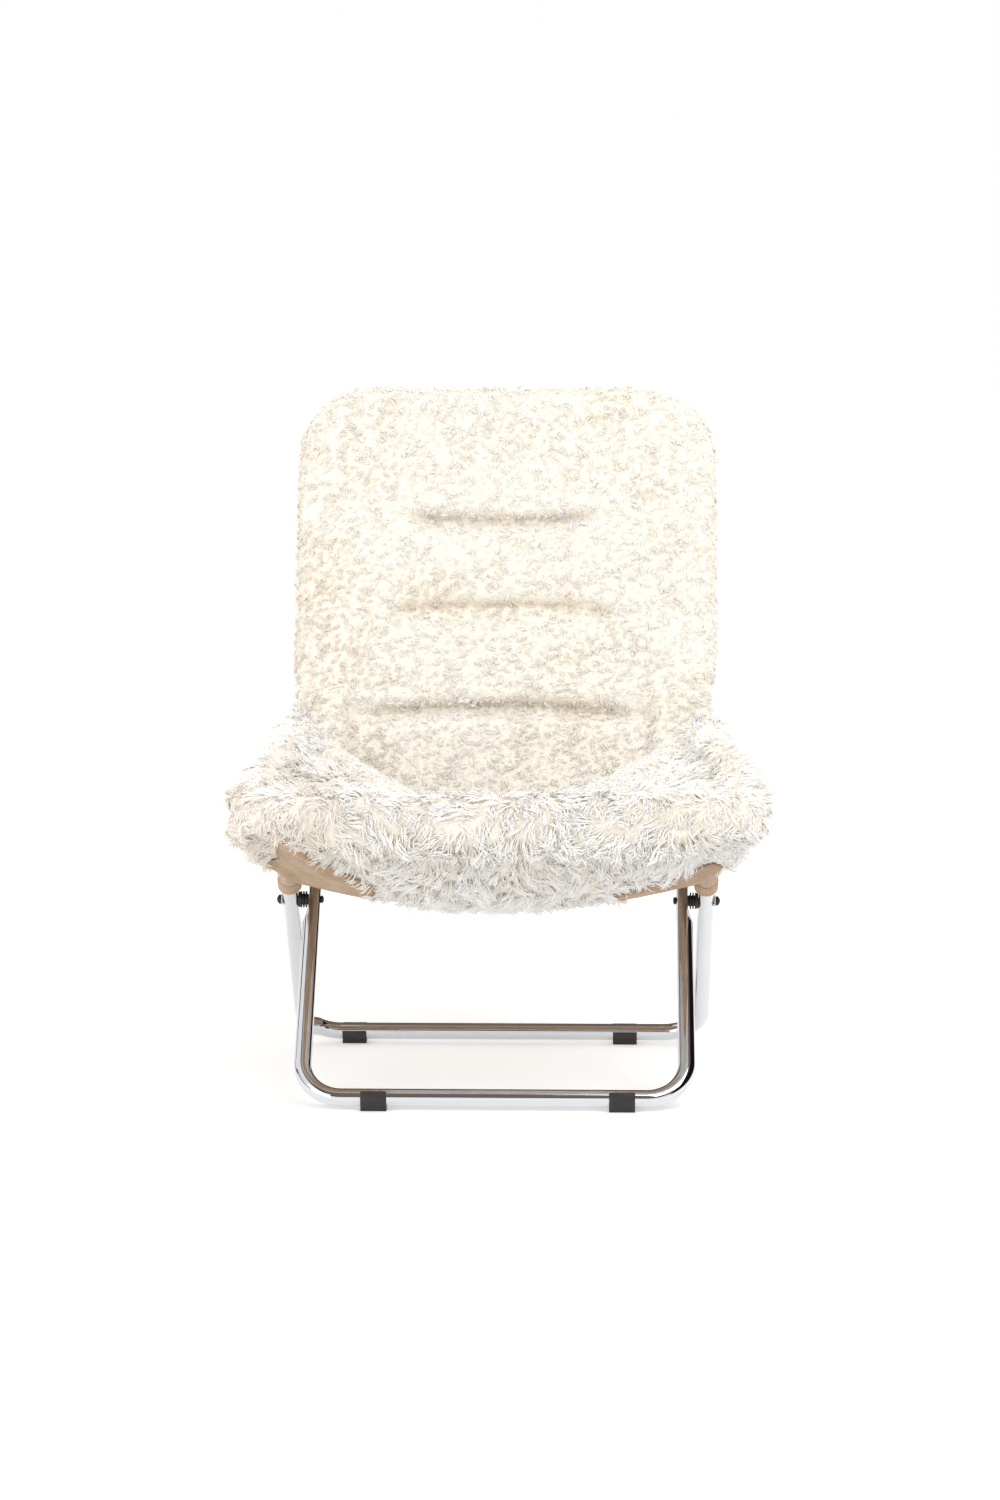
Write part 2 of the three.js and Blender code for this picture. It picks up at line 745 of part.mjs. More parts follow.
// Back. Rows are distances up the back from its knee, and its lower edge clears the crease.
const creaseReach = seatMiddleCurve
  .getPoint(0)
  .sub(spot(0, pivotLine))
  .length();
const backHalfWidth = innerHalf + padMargin - backSideTuck;
const backTopReach = backLength + padMargin;
const backOutlineRadius = backCornerRadius + padMargin;

// Distance up the back at which its line is a given distance from the pivot line
function backReachAt(distance) {
  const k = { y: backKnee.y - pivotLine.y, z: backKnee.z - pivotLine.z };
  const b = k.y * backLean.y + k.z * backLean.z;
  const c = k.y * k.y + k.z * k.z - distance * distance;
  return -b + Math.sqrt(b * b - c);
}

const backBottomReach = backReachAt(creaseReach + padParting);

function backHalfAt(row) {
  const intoCorner = row - (backTopReach - backOutlineRadius);
  if (intoCorner <= 0) return backHalfWidth;
  const drop = Math.sqrt(Math.max(0, backOutlineRadius ** 2 - intoCorner ** 2));
  return backHalfWidth - backOutlineRadius + drop;
}

function channelReach(height) {
  return (height - backKnee.z) / backLean.z;
}

// How far a channel's bow moves a row at a distance from the centre line
function channelBow(row, x) {
  return channelHeights.reduce((sum, height, i) => {
    const near = Math.exp(-(((row - channelReach(height)) / (2 * channelHalfWidth)) ** 2));
    const middle = Math.max(0, 1 - (x / channelHalfLengths[i]) ** 2);
    return sum + near * channelBows[i] * middle;
  }, 0);
}

function backLayer(row, share) {
  const x = share * backHalfAt(row);
  const sagAcross = Math.max(0, 1 - (x / backHalfWidth) ** 2) ** hangPowerShare;
  const fromTop = (backTopReach - row) / (sagReachShare * backLength);
  const sagUp = Math.min(1, Math.max(0, fromTop)) ** sagPowerShare;
  const sag = backSag * sagAcross * sagUp;
  const reach = row + channelBow(row, x);
  const { y, z } = along(backKnee, backLean, reach);
  return new THREE.Vector3(x, y + sag * backLean.z, z - sag * backLean.y);
}

// Distance inwards from the back's outline, with its round top corners
function backEdgeDistance(row, x) {
  const towardsTop = row - (backTopReach - backOutlineRadius);
  const towardsSide = Math.abs(x) - (backHalfWidth - backOutlineRadius);
  if (towardsTop > 0 && towardsSide > 0) return backOutlineRadius - Math.hypot(towardsTop, towardsSide);
  return Math.min(backHalfWidth - Math.abs(x), backTopReach - row);
}

function backFront(row, x) {
  let half = backHalfThickness;
  channelHeights.forEach((height, i) => {
    const from = Math.abs(row - channelReach(height));
    const length = channelHalfLengths[i];
    const [start, end] = channelFadeShares.map((share) => share * length);
    const fade = 1 - THREE.MathUtils.smoothstep(Math.abs(x), start, end);
    half -= channelDepth * fade * Math.exp(-((from / (channelHalfWidth / 2)) ** 2));
  });
  const middle = Math.max(0, 1 - (x / backHalfWidth) ** 2);
  return half + backCrown * middle;
}

function backSkin(behind, grow = 0) {
  return (row, share) => {
    const x = share * backHalfAt(row);
    const place = backLayer(row, share);
    const half = behind ? backHalfThickness : backFront(row, x);
    const toEdge = roundedShare(backEdgeDistance(row, x), backHalfThickness);
    const toBottom = roundedShare(row - backBottomReach, backHalfThickness);
    const offset = half * toEdge * toBottom + grow;
    const inside = Math.min(row, backTopReach - backHalfThickness);
    const forward = normalOf(backLayer, inside, share);
    return place.addScaledVector(forward, (behind ? -1 : 1) * offset);
  };
}

function backRows() {
  const bottom = edgeShares.map((share) => backBottomReach + share * backHalfThickness);
  const top = edgeShares.map((share) => backTopReach - share * backHalfThickness).reverse();
  const cornerStart = backTopReach - backOutlineRadius;
  const corners = cornerRowShares.map((share) => mix(cornerStart, top[0], share));
  const channels = channelHeights.flatMap((height) =>
    channelRowShares.map((share) => channelReach(height) + share * channelHalfWidth),
  );
  const above = mix(channels[channels.length - 1], cornerStart, aboveChannelsShare);
  return [...bottom, ...channels, above, ...corners, ...top];
}

const backColumns = cushionColumns(backHalfThickness / backHalfWidth);

function backCushion(grow = 0) {
  return gridGeometry(backRows(), backColumns, backSkin(false, grow), backSkin(true, grow), !grow);
}

function backSlingGeometry() {
  const lowest = backBottomReach + backHalfThickness;
  const highest = backTopReach - 2 * backHalfThickness;
  const rows = backSlingRowShares.map((share) => mix(lowest, highest, share));
  const skinAt = (grow) => (row, share) => {
    const width = Math.min(innerHalf - slingInset, backHalfAt(row) - 2 * backHalfThickness);
    return backSkin(true, grow)(row, (share * width) / backHalfAt(row));
  };
  return sheetUnder(rows, backSlingColumnShares, skinAt, backCushion(seatGap));
}

// Wings: a cushion between the seat hoop's side and a line from the seat's corner to the back's side
function wingGeometry(side) {
  const rearTop = along(backKnee, backLean, (wingTopHeight - backKnee.z) / backLean.z);
  const rearX = backHalfWidth + seatGap + wingHalfThickness;
  const top = [
    new THREE.Vector3(rearX, rearTop.y - padMargin, rearTop.z),
    spot(seatHoopHalf + padMargin - wingHalfThickness / 2, along(seatCorner, seatRise, -wingSetback)),
  ];
  top[1].z += wingRise;
  const bottom = [
    new THREE.Vector3(outerHalf + wingHalfThickness / 2, 0, pivotHeight + wingPivotReach),
    onSeatSide(1, 0).at,
    spot(seatHoopHalf, along(seatCorner, seatRise, -wingSetback)),
  ];
  const bottomCurve = new THREE.CatmullRomCurve3(bottom);
  const layer = (row, share) => {
    const low = bottomCurve.getPoint(THREE.MathUtils.clamp(row, 0, 1));
    const high = top[0].clone().lerp(top[1], row);
    const place = low.lerp(high, (1 + share) / 2);
    place.x *= side;
    return place;
  };
  const skin = (inner) => (row, share) => {
    const height = layer(row, 1).distanceTo(layer(row, -1));
    const toTop = ((1 - share) / 2) * height;
    const toRear = row * layer(0, share).distanceTo(layer(1, share));
    const full = roundedShare(toTop, wingHalfThickness) * roundedShare(toRear, wingHalfThickness);
    const out = upX.clone().multiplyScalar(inner ? -side : side);
    const pinch = share === -1 || row === 1 ? 0 : 1;
    return layer(row, share).addScaledVector(out, wingHalfThickness * full * pinch);
  };
  return gridGeometry(wingRowShares, wingColumnShares, skin(false), skin(true), true);
}

function sleeveCorners(side) {
  return [
    { at: spot(side * outerHalf, along(pivotLine, upFront, sleeveStart)) },
    { at: spot(side * outerHalf, seatKnee), radius: kneeBendRadius },
    { at: onSeatSide(side, sleeveEnd).at },
  ];
}

const snugRadius = (tubeRadius + seatGap) / Math.cos(Math.PI / tubeSides);

function sleeveGeometry(side) {
  return tubeAlong(bentPath(sleeveCorners(side)), snugRadius + sleeveWall, snugRadius, tubeSides, tubeSides);
}

// Runs a path on past both of its ends
function lengthened({ stations }) {
  const [first] = stations;
  const last = stations[stations.length - 1];
  const before = { ...first, point: first.point.clone().addScaledVector(first.tangent, -overrun) };
  const after = { ...last, point: last.point.clone().addScaledVector(last.tangent, overrun) };
  return new BentPath([before, ...stations, after]);
}

// Cutters, each one gap larger than the piece that it makes room for
const roomForTube = (path) => tubeAlong(lengthened(path), snugRadius, 0);
const sleeveRoomRadius = snugRadius + sleeveWall + seatGap;
const roomForSleeve = (side) => tubeAlong(bentPath(sleeveCorners(side)), sleeveRoomRadius, 0);
const roomForSeatFrame = () => [
  roomForTube(rearLegPath),
  roomForTube(seatHoopPath),
  ...Object.values(sides).map(roomForSleeve),
  ...seatScrews.map((place) => screwGeometry(place, seatGap)),
];
const roomForBackFrame = () => [
  roomForTube(frontLegPath),
  roomForTube(backHoopPath),
  ...backScrews.map((place) => screwGeometry(place, seatGap)),
];

// The two frames that turn on each other, and the chair, centred over its feet

const backFrame = new THREE.Group();
const seatFrame = new THREE.Group();
backFrame.add(
  node("front_leg_tube", frameTube(frontLegPath, innerHalf, upBack, innerPressDepth, 1), "chrome"),
  node("back_hoop_tube", hoopTube(backHoopPath, backScrews), "chrome"),
  node("back_pad", trimmed(backCushion(), roomForBackFrame()), "fur"),
  node("back_sling", backSlingGeometry(), "suede"),
);
seatFrame.add(
  node("rear_leg_tube", frameTube(rearLegPath, outerHalf, upFront, outerPressDepth, -1), "chrome"),
  node("seat_hoop_tube", hoopTube(seatHoopPath, seatScrews), "chrome"),
  node("seat_pad", trimmed(seatCushion(), roomForSeatFrame()), "fur"),
  node("seat_sling", seatSlingGeometry(), "suede"),
);
Object.entries(sides).forEach(([sideName, side], i) => {
  backFrame.add(
    ...pivotNodes(sideName),
    footNode(`front_foot_${sideName}`, frontFootPlaces[sideName], -1),
    node(
      `back_joint_spigot_${sideName}`,
      spigotGeometry(side, onBackSide, backJointReach, backScrews[i]),
      "zinc",
    ),
    node(`back_joint_screw_${sideName}`, screwGeometry(backScrews[i]), "zinc"),
  );
  seatFrame.add(
    footNode(`rear_foot_${sideName}`, rearFootPlaces[sideName], 1),
    node(
      `seat_joint_spigot_${sideName}`,
      spigotGeometry(side, onSeatSide, seatJointReach, seatScrews[i]),
      "zinc",
    ),
    node(`seat_joint_screw_${sideName}`, screwGeometry(seatScrews[i]), "zinc"),
    node(`seat_sleeve_${sideName}`, sleeveGeometry(side), "suede"),
    node(
      `seat_wing_${sideName}`,
      trimmed(wingGeometry(side), [seatCushion(seatGap), ...roomForSeatFrame()]),
      "fur",
    ),
  );
});

const chair = new THREE.Group();
chair.add(backFrame, seatFrame);
const extent = new THREE.Box3().setFromObject(chair);
chair.position.y = -(extent.min.y + extent.max.y) / 2;

export default chair;
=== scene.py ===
import math

import bmesh
import bpy
import numpy as np
from mathutils import Matrix, Vector, noise
from mathutils.kdtree import KDTree


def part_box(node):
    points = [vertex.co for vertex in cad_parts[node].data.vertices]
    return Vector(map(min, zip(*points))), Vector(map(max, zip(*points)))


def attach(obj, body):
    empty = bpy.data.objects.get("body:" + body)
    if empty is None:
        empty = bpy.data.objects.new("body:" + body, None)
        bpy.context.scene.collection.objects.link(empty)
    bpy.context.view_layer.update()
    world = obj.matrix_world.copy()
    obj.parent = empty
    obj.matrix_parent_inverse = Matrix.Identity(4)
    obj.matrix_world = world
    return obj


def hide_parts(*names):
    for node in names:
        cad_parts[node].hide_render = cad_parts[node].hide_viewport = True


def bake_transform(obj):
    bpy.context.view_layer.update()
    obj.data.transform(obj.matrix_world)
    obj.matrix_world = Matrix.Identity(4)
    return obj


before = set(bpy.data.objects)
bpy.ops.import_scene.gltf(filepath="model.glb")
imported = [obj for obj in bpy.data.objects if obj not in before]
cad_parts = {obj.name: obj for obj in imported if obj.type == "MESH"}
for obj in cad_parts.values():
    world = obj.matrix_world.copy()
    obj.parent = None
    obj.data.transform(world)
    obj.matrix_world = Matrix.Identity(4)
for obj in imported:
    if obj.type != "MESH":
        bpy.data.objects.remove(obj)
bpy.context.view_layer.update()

# Folding saucer chair, in metres, +Z up, with its front towards -Y. Two chromed tube loops cross at one
# pivot line, and a cream sheepskin-style cover on a tan suede sling hangs between their hoops.

# Tube loops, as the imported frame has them
PIVOT = Vector((0, 0.03008, 0.228))
TUBE_RADIUS = 0.011
TUBE_WALL = 0.0012
INNER_HALF = 0.238
OUTER_HALF = 0.265
RAIL_SETBACK = 0.215
RAIL_HEIGHT = 0.0155
RAIL_BEND = 0.050
KNEE_BEND = 0.120
BACK_KNEE_REACH = 0.095
BACK_LEAN = math.radians(22)
BACK_HOOP_HEIGHT = 0.835
BACK_CORNER_BEND = 0.062
BACK_JOINT_REACH = 0.072
SEAT_KNEE_REACH = 0.075
SEAT_HOOP_HALF = 0.300
SEAT_CORNER_REACH = 0.310
SEAT_FRONT_REACH = 0.335
SEAT_FRONT_HEIGHT = 0.384
SEAT_CORNER_BEND = 0.070
SEAT_BOW_BEND = 1.900
SEAT_JOINT_REACH = 0.070
JOINT_GAP = 0.0003
PRESS_HALF = 0.016
PRESS_RAMP = 0.020
INNER_PRESS = 0.007
OUTER_PRESS = 0.002
TUBE_SIDES = 40
BEND_STEP = math.radians(5)
LEAST_TURN = 1e-4
ALONG_X = Matrix.Rotation(math.pi / 2, 4, "Y")

# Small fittings
EDGE_ROUND = 0.0006
SHARP_ANGLE = math.radians(35)
FLAT_ANGLE = math.radians(3)
WELD = 1e-6
RIBS = 3
RIB_SIDES = 20
RIB_PROUD = 0.0008
RIB_SHARE = 0.55

# Suede
SLEEVE_WALL = 0.0026
SLEEVE_START = 0.031
SLEEVE_END = 0.105
SLEEVE_RADIUS = TUBE_RADIUS + JOINT_GAP + SLEEVE_WALL
SLEEVE_SIDES = 32
SLEEVE_EASE_SHARE = 0.4
HEM_WALL = 0.0011
HEM_LENGTH = 0.016
HEM_EASE_SHARE = 0.45
STITCH_LENGTH = 0.0034
STITCH_WIDTH = 0.0010
STITCH_PITCH = 0.0046
STITCH_INSETS = (0.003, 0.0025)
SUEDE_LIFT = 0.0012
SUEDE_WALL = 0.002
RIM_PASSES = 6

# Padding under the fur
CORE_VOXEL = 0.006
CORE_SMOOTHING = 4
FOCUS = Vector((0, -0.07, 0.640))
CHANNELS = ((0.452, 0.180, 0.009), (0.584, 0.150, 0.005), (0.705, 0.122, -0.007))
CHANNEL_DEPTH = 0.0085
CHANNEL_WIDTH = 0.0090
PUFF = 0.005
CREASE_HEIGHT = 0.327
CREASE_DEPTH = 0.014
CREASE_WIDTH = 0.007
CURLY_INSET = 0.0005
COMBED_INSET = 0.006
BACK_SIDE_SWELLS = (0.011, 0.022)
TOP_SWELL = 0.013
SEAT_TIP_SWELLS = (0.002, 0.018)
CORNER_LIFT = 0.020
TUBE_COVER = 0.005

# Fur. Strands are drawn about 1.5 mm thick, coarser than real hair, so that they show
CURLS = 98000
CURL_STATIONS = (0, 0.52, 1)
CURL_FULLNESS = (0.9, 1.0, 0)
CURL_RADIUS = 0.00075
CURLS_A_PIECE = 19000
CURL_LENGTH = 0.0150
CURL_STARTS = (-40, 0)
CURL_ENDS = (110, 210)
CURL_SWAY = 0.0005
LOCKS = 41000
LOCK_STATIONS = (0, 0.40, 0.76, 1)
LOCK_FULLNESS = (0.9, 1.0, 0.75, 0)
LOCK_RADIUS = 0.00080
LOCKS_A_PIECE = 12000
LOCK_LENGTH = 0.0265
LOCK_STARTS = (20, 50)
LOCK_ENDS = (70, 160)
LOCK_SWAY = 0.0032
LOCK_WANDER = 0.9
SWIRL_SCALE = 14
SWIRL_TURN = 2.4
STRAND_SIDES = 3
TUFT_REACHES = (0.0055, 0.0110)
TUFT_LENGTHS = (0.82, 1.18)
STRAND_LENGTHS = (0.82, 1.12)
STRAND_THICKNESSES = (0.75, 1.25)
LIE_SPREAD = 0.16
START_SPREAD = 0.12
END_SPREAD = 0.22
PHASE_SPREAD = 0.5
TONE_SPREAD = 0.12
BEND_POWER = 0.85
DRAWN_IN = (0.15, 0.60)
DRAWN_POWER = 1.1
LOCK_DRAWN_SHARE = 0.75
WAVES_A_STRAND = 1.1
WING_SHORTER = 0.006
CHANNEL_SHORTER = 0.1
# Painted beige shade on the strands in and by the back's sewn channels
CHANNEL_PAINTED_SHADE = 0.9
WING_HALF = (0.235, 0.27)
ABOVE_FOCUS = 0.25
PATCH_SCALES = (22, 8)
BROAD_PATCH_SHARE = 0.8
# Painted beige shade towards the chair's left: how far out it grows, and the roll top above which the locks
# lose it
PAINTED_SHADE_LEFT_HALF = (0.10, 0.30)
PAINTED_SHADE_ROLL_TOP = (0.385, 0.425)
# How warm each pile is by itself, how much its patches add, and how much painted shade the left side adds
CURL_WARMTH_AND_SHADE = (0.30, 0.55, 0.35)
LOCK_WARMTH_AND_SHADE = (0.20, 0.45, 0.75)
ROOT_DEPTH = 0.002
STRAND_U_SPREAD = 3
SEED = 11

SIDES = {"left": -1, "right": 1}


def colour(code):
    """An sRGB hex value as the linear colour that a shader takes."""
    shares = [int(code[i:i + 2], 16) / 255 for i in (1, 3, 5)]
    linear = [((c + 0.055) / 1.055) ** 2.4 if c > 0.04045 else c / 12.92 for c in shares]
    return (*linear, 1)


def add(tree, kind, inputs=(), **settings):
    """Adds a node to a tree, with its settings, and with each input linked to a socket or set to a value."""
    made = tree.nodes.new(kind)
    for key, value in settings.items():
        setattr(made, key, value)
    for key, value in dict(inputs).items():
        if isinstance(value, bpy.types.NodeSocket):
            tree.links.new(value, made.inputs[key])
        else:
            made.inputs[key].default_value = value
    return made


def material(name):
    """An empty node material, and its tree."""
    made = bpy.data.materials.new(name)
    made.use_nodes = True
    made.node_tree.nodes.clear()
    return made, made.node_tree


# Materials

def chromium_plate():
    """Bright chromium on drawn steel tube: a clear mirror, dulled in patches by a faint haze of handling."""
    made, tree = material("chromium_plate")
    place = add(tree, "ShaderNodeTexCoord").outputs["Object"]
    haze = add(tree, "ShaderNodeTexNoise", {"Vector": place, "Scale": 1 / 0.035, "Detail": 4.0})
    rough = add(tree, "ShaderNodeMapRange", {
        "Value": haze.outputs["Fac"], "From Min": 0.35, "From Max": 0.75, "To Min": 0.035, "To Max": 0.10})
    drawn = add(tree, "ShaderNodeTexNoise", {"Vector": place, "Scale": 1 / 0.060, "Detail": 1.0})
    ripple = add(tree, "ShaderNodeBump", {
        "Height": drawn.outputs["Fac"], "Strength": 0.05, "Distance": 0.002})
    metal = add(tree, "ShaderNodeBsdfPrincipled", {
        "Base Color": colour("#DADCE0"), "Metallic": 1.0, "Roughness": rough.outputs["Result"],
        "Normal": ripple.outputs["Normal"]})
    add(tree, "ShaderNodeOutputMaterial", {"Surface": metal.outputs["BSDF"]})
    return made


def black_oxide_steel():
    """Blackened steel bolt heads and nuts: satin black, worn a little greyer where spanners touch."""
    made, tree = material("black_oxide_steel")
    place = add(tree, "ShaderNodeTexCoord").outputs["Object"]
    wear = add(tree, "ShaderNodeTexNoise", {"Vector": place, "Scale": 1 / 0.004, "Detail": 3.0})
    tone = add(tree, "ShaderNodeMix", {
        0: wear.outputs["Fac"], 6: colour("#1E1C1A"), 7: colour("#3A3734")}, data_type="RGBA")
    bump = add(tree, "ShaderNodeBump", {"Height": wear.outputs["Fac"], "Strength": 0.15, "Distance": 0.0003})
    metal = add(tree, "ShaderNodeBsdfPrincipled", {
        "Base Color": tone.outputs[2], "Metallic": 0.6, "Roughness": 0.42, "Normal": bump.outputs["Normal"]})
    add(tree, "ShaderNodeOutputMaterial", {"Surface": metal.outputs["BSDF"]})
    return made


def moulded_plastic(name, deep, pale, roughness):
    """Injection-moulded plastic: a spark-eroded grain of about 0.6 mm that scatters the highlight."""
    made, tree = material(name)
    place = add(tree, "ShaderNodeTexCoord").outputs["Object"]
    grain = add(tree, "ShaderNodeTexNoise", {"Vector": place, "Scale": 1 / 0.0006, "Detail": 2.0})
    scuff = add(tree, "ShaderNodeTexNoise", {"Vector": place, "Scale": 1 / 0.012, "Detail": 5.0})
    tone = add(tree, "ShaderNodeMix", {
        0: scuff.outputs["Fac"], 6: colour(deep), 7: colour(pale)}, data_type="RGBA")
    bump = add(tree, "ShaderNodeBump", {
        "Height": grain.outputs["Fac"], "Strength": 0.25, "Distance": 0.0002})
    plastic = add(tree, "ShaderNodeBsdfPrincipled", {
        "Base Color": tone.outputs[2], "Roughness": roughness, "IOR": 1.5, "Normal": bump.outputs["Normal"]})
    add(tree, "ShaderNodeOutputMaterial", {"Surface": plastic.outputs["BSDF"]})
    return made


def zinc_plate():
    """Zinc-plated steel inside the joints: pale grey, with a fine spangle."""
    made, tree = material("zinc_plate")
    place = add(tree, "ShaderNodeTexCoord").outputs["Object"]
    spangle = add(tree, "ShaderNodeTexVoronoi", {"Vector": place, "Scale": 1 / 0.003})
    rough = add(tree, "ShaderNodeMapRange", {
        "Value": spangle.outputs["Distance"], "To Min": 0.28, "To Max": 0.42})
    metal = add(tree, "ShaderNodeBsdfPrincipled", {
        "Base Color": colour("#B4B7B9"), "Metallic": 1.0, "Roughness": rough.outputs["Result"]})
    add(tree, "ShaderNodeOutputMaterial", {"Surface": metal.outputs["BSDF"]})
    return made


def brushed_suede(name, deep, pale):
    """Brushed microfibre suede: a nap of about 2 mm, stroked into soft patches a few centimetres across."""
    made, tree = material(name)
    place = add(tree, "ShaderNodeTexCoord").outputs["Object"]
    strokes = add(tree, "ShaderNodeTexNoise", {
        "Vector": place, "Scale": 1 / 0.045, "Detail": 3.0, "Roughness": 0.6})
    nap = add(tree, "ShaderNodeTexNoise", {
        "Vector": place, "Scale": 1 / 0.0020, "Detail": 4.0, "Roughness": 0.8})
    both = add(tree, "ShaderNodeMix", {0: 0.62, 2: strokes.outputs["Fac"], 3: nap.outputs["Fac"]})
    share = add(tree, "ShaderNodeMapRange", {"Value": both.outputs[0], "From Min": 0.40, "From Max": 0.60})
    tone = add(tree, "ShaderNodeMix", {
        0: share.outputs["Result"], 6: colour(deep), 7: colour(pale)}, data_type="RGBA")
    bump = add(tree, "ShaderNodeBump", {"Height": nap.outputs["Fac"], "Strength": 0.5, "Distance": 0.0006})
    cloth = add(tree, "ShaderNodeBsdfPrincipled", {
        "Base Color": tone.outputs[2], "Roughness": 0.95, "Specular IOR Level": 0.2, "Sheen Weight": 0.35,
        "Sheen Roughness": 0.5, "Sheen Tint": colour("#E8D8C4"), "Normal": bump.outputs["Normal"]})
    add(tree, "ShaderNodeOutputMaterial", {"Surface": cloth.outputs["BSDF"]})
    return made


def sewing_thread():
    """Spun polyester thread in the suede's own tan, with a fine twist."""
    made, tree = material("sewing_thread")
    place = add(tree, "ShaderNodeTexCoord").outputs["Object"]
    twist = add(tree, "ShaderNodeTexNoise", {"Vector": place, "Scale": 1 / 0.0006})
    tone = add(tree, "ShaderNodeMix", {
        0: twist.outputs["Fac"], 6: colour("#A98D6E"), 7: colour("#C9AF90")}, data_type="RGBA")
    thread = add(tree, "ShaderNodeBsdfPrincipled", {"Base Color": tone.outputs[2], "Roughness": 0.8})
    add(tree, "ShaderNodeOutputMaterial", {"Surface": thread.outputs["BSDF"]})
    return made


def underfur_with_painted_shade():
    """The dense wool at the roots of the fur: a cream a little warmer than the tips, partly its own tone and
    partly a painted beige shade for the gaps between locks.
    """
    made, tree = material("underfur_with_painted_shade")
    place = add(tree, "ShaderNodeTexCoord").outputs["Object"]
    tufts = add(tree, "ShaderNodeTexNoise", {"Vector": place, "Scale": 1 / 0.006, "Detail": 4.0})
    tone = add(tree, "ShaderNodeMix", {
        0: tufts.outputs["Fac"], 6: colour("#F1E8D9"), 7: colour("#FBF7EE")}, data_type="RGBA")
    bump = add(tree, "ShaderNodeBump", {"Height": tufts.outputs["Fac"], "Strength": 0.8, "Distance": 0.003})
    wool = add(tree, "ShaderNodeBsdfPrincipled", {
        "Base Color": tone.outputs[2], "Roughness": 1.0, "Specular IOR Level": 0.1,
        "Normal": bump.outputs["Normal"]})
    add(tree, "ShaderNodeOutputMaterial", {"Surface": wool.outputs["BSDF"]})
    return made


def sheepskin_pile(name, root, middle, tip, warm_and_shade):
    """Sheepskin pile: each strand is beige at its root and creamy white at its tip, the beige partly the
    wool's own tone and partly painted shade deep in the pile, and strands of one patch share a warmer or
    cooler cream, with painted shade in the channels and on the left. The map's U runs round a strand and its
    V from root to tip."""
    made, tree = material(name)
    strand_map = add(tree, "ShaderNodeUVMap", uv_map="Strands")
    height = add(tree, "ShaderNodeSeparateXYZ", {"Vector": strand_map.outputs["UV"]}).outputs["Y"]
    # Beige towards the root: partly the wool's own tone, partly painted shade deep in the pile
    lower = add(tree, "ShaderNodeMapRange", {"Value": height, "From Min": 0.0, "From Max": 0.40})
    upper = add(tree, "ShaderNodeMapRange", {"Value": height, "From Min": 0.25, "From Max": 0.75})
    base = add(tree, "ShaderNodeMix", {
        0: lower.outputs["Result"], 6: colour(root), 7: colour(middle)}, data_type="RGBA")
    along = add(tree, "ShaderNodeMix", {
        0: upper.outputs["Result"], 6: base.outputs[2], 7: colour(tip)}, data_type="RGBA")
    # The warmth map holds random warm patches and painted shade in the channels and on the left
    warmth_and_shade_map = add(tree, "ShaderNodeAttribute", attribute_name="warmth_and_shade")
    share = add(tree, "ShaderNodeMapRange", {
        "Value": warmth_and_shade_map.outputs["Fac"], "From Min": 0.2, "From Max": 1.0, "To Max": 0.75})
    toned = add(tree, "ShaderNodeMix", {
        0: share.outputs["Result"], 6: along.outputs[2], 7: colour(warm_and_shade)}, data_type="RGBA")
    hair = add(tree, "ShaderNodeBsdfPrincipled", {
        "Base Color": toned.outputs[2], "Roughness": 0.9, "Specular IOR Level": 0.15})
    add(tree, "ShaderNodeOutputMaterial", {"Surface": hair.outputs["BSDF"]})
    return made


chrome = chromium_plate()
black_steel = black_oxide_steel()
black_plastic = moulded_plastic("black_polyethylene", "#1F1C1B", "#302C2A", 0.5)
pale_nylon = moulded_plastic("natural_nylon", "#D8D3C8", "#E9E5DC", 0.45)
zinc = zinc_plate()
suede = brushed_suede("tan_suede", "#957A60", "#C6A98F")
sleeve_suede = brushed_suede("tan_suede_sleeve", "#B0947F", "#CBB09A")
thread = sewing_thread()
wool = underfur_with_painted_shade()
# The beige root colours partly paint the shade between strands; the last colour is that of warm patches and
# painted shade
curly_pile = sheepskin_pile("curly_sheepskin_pile", "#F1E8DA", "#FBF8F2", "#FEFDFB", "#F3E9DA")
combed_pile = sheepskin_pile("combed_sheepskin_pile", "#F2EBE0", "#FCF9F4", "#FEFDFC", "#F0E8DC")


# Shared ways of making a piece

def placed(name, data):
    """A new object of some mesh, lamp or camera, in the scene."""
    made = bpy.data.objects.new(name, data)
    bpy.context.scene.collection.objects.link(made)
    return made


def piece_of(name, mesh, finish):
    """A new piece with one finish in its material slot."""
    mesh.materials.clear()
    mesh.materials.append(finish)
    return placed(name, mesh)


def mesh_from(bm, name):
    """A smooth mesh of a finished bmesh, which is freed."""
    mesh = bpy.data.meshes.new(name)
    for face in bm.faces:
        face.smooth = True
    bm.to_mesh(mesh)
    bm.free()
    return mesh


def merge_into(bm, added):
    """Puts one finished bmesh into another."""
    mesh = mesh_from(added, "added")
    bm.from_mesh(mesh)
    bpy.data.meshes.remove(mesh)


def add_wall(piece, thickness, offset):
    """Gives an open skin its thickness, outwards where the offset is 1 and inwards where it is -1."""
    wall = piece.modifiers.new("wall", "SOLIDIFY")
    wall.thickness = thickness
    wall.offset = offset


def keep_modifiers(piece):
    """Makes what a piece's modifiers do part of its mesh."""
    graph = bpy.context.evaluated_depsgraph_get()
    mesh = bpy.data.meshes.new_from_object(piece.evaluated_get(graph))
    piece.modifiers.clear()
    piece.data = mesh


# Chromed tubes

def new_rim(made):
    """The edges at the far end of an extrusion."""
    verts = {part for part in made if isinstance(part, bmesh.types.BMVert)}
    return [part for part in made if isinstance(part, bmesh.types.BMEdge) and set(part.verts) <= verts]


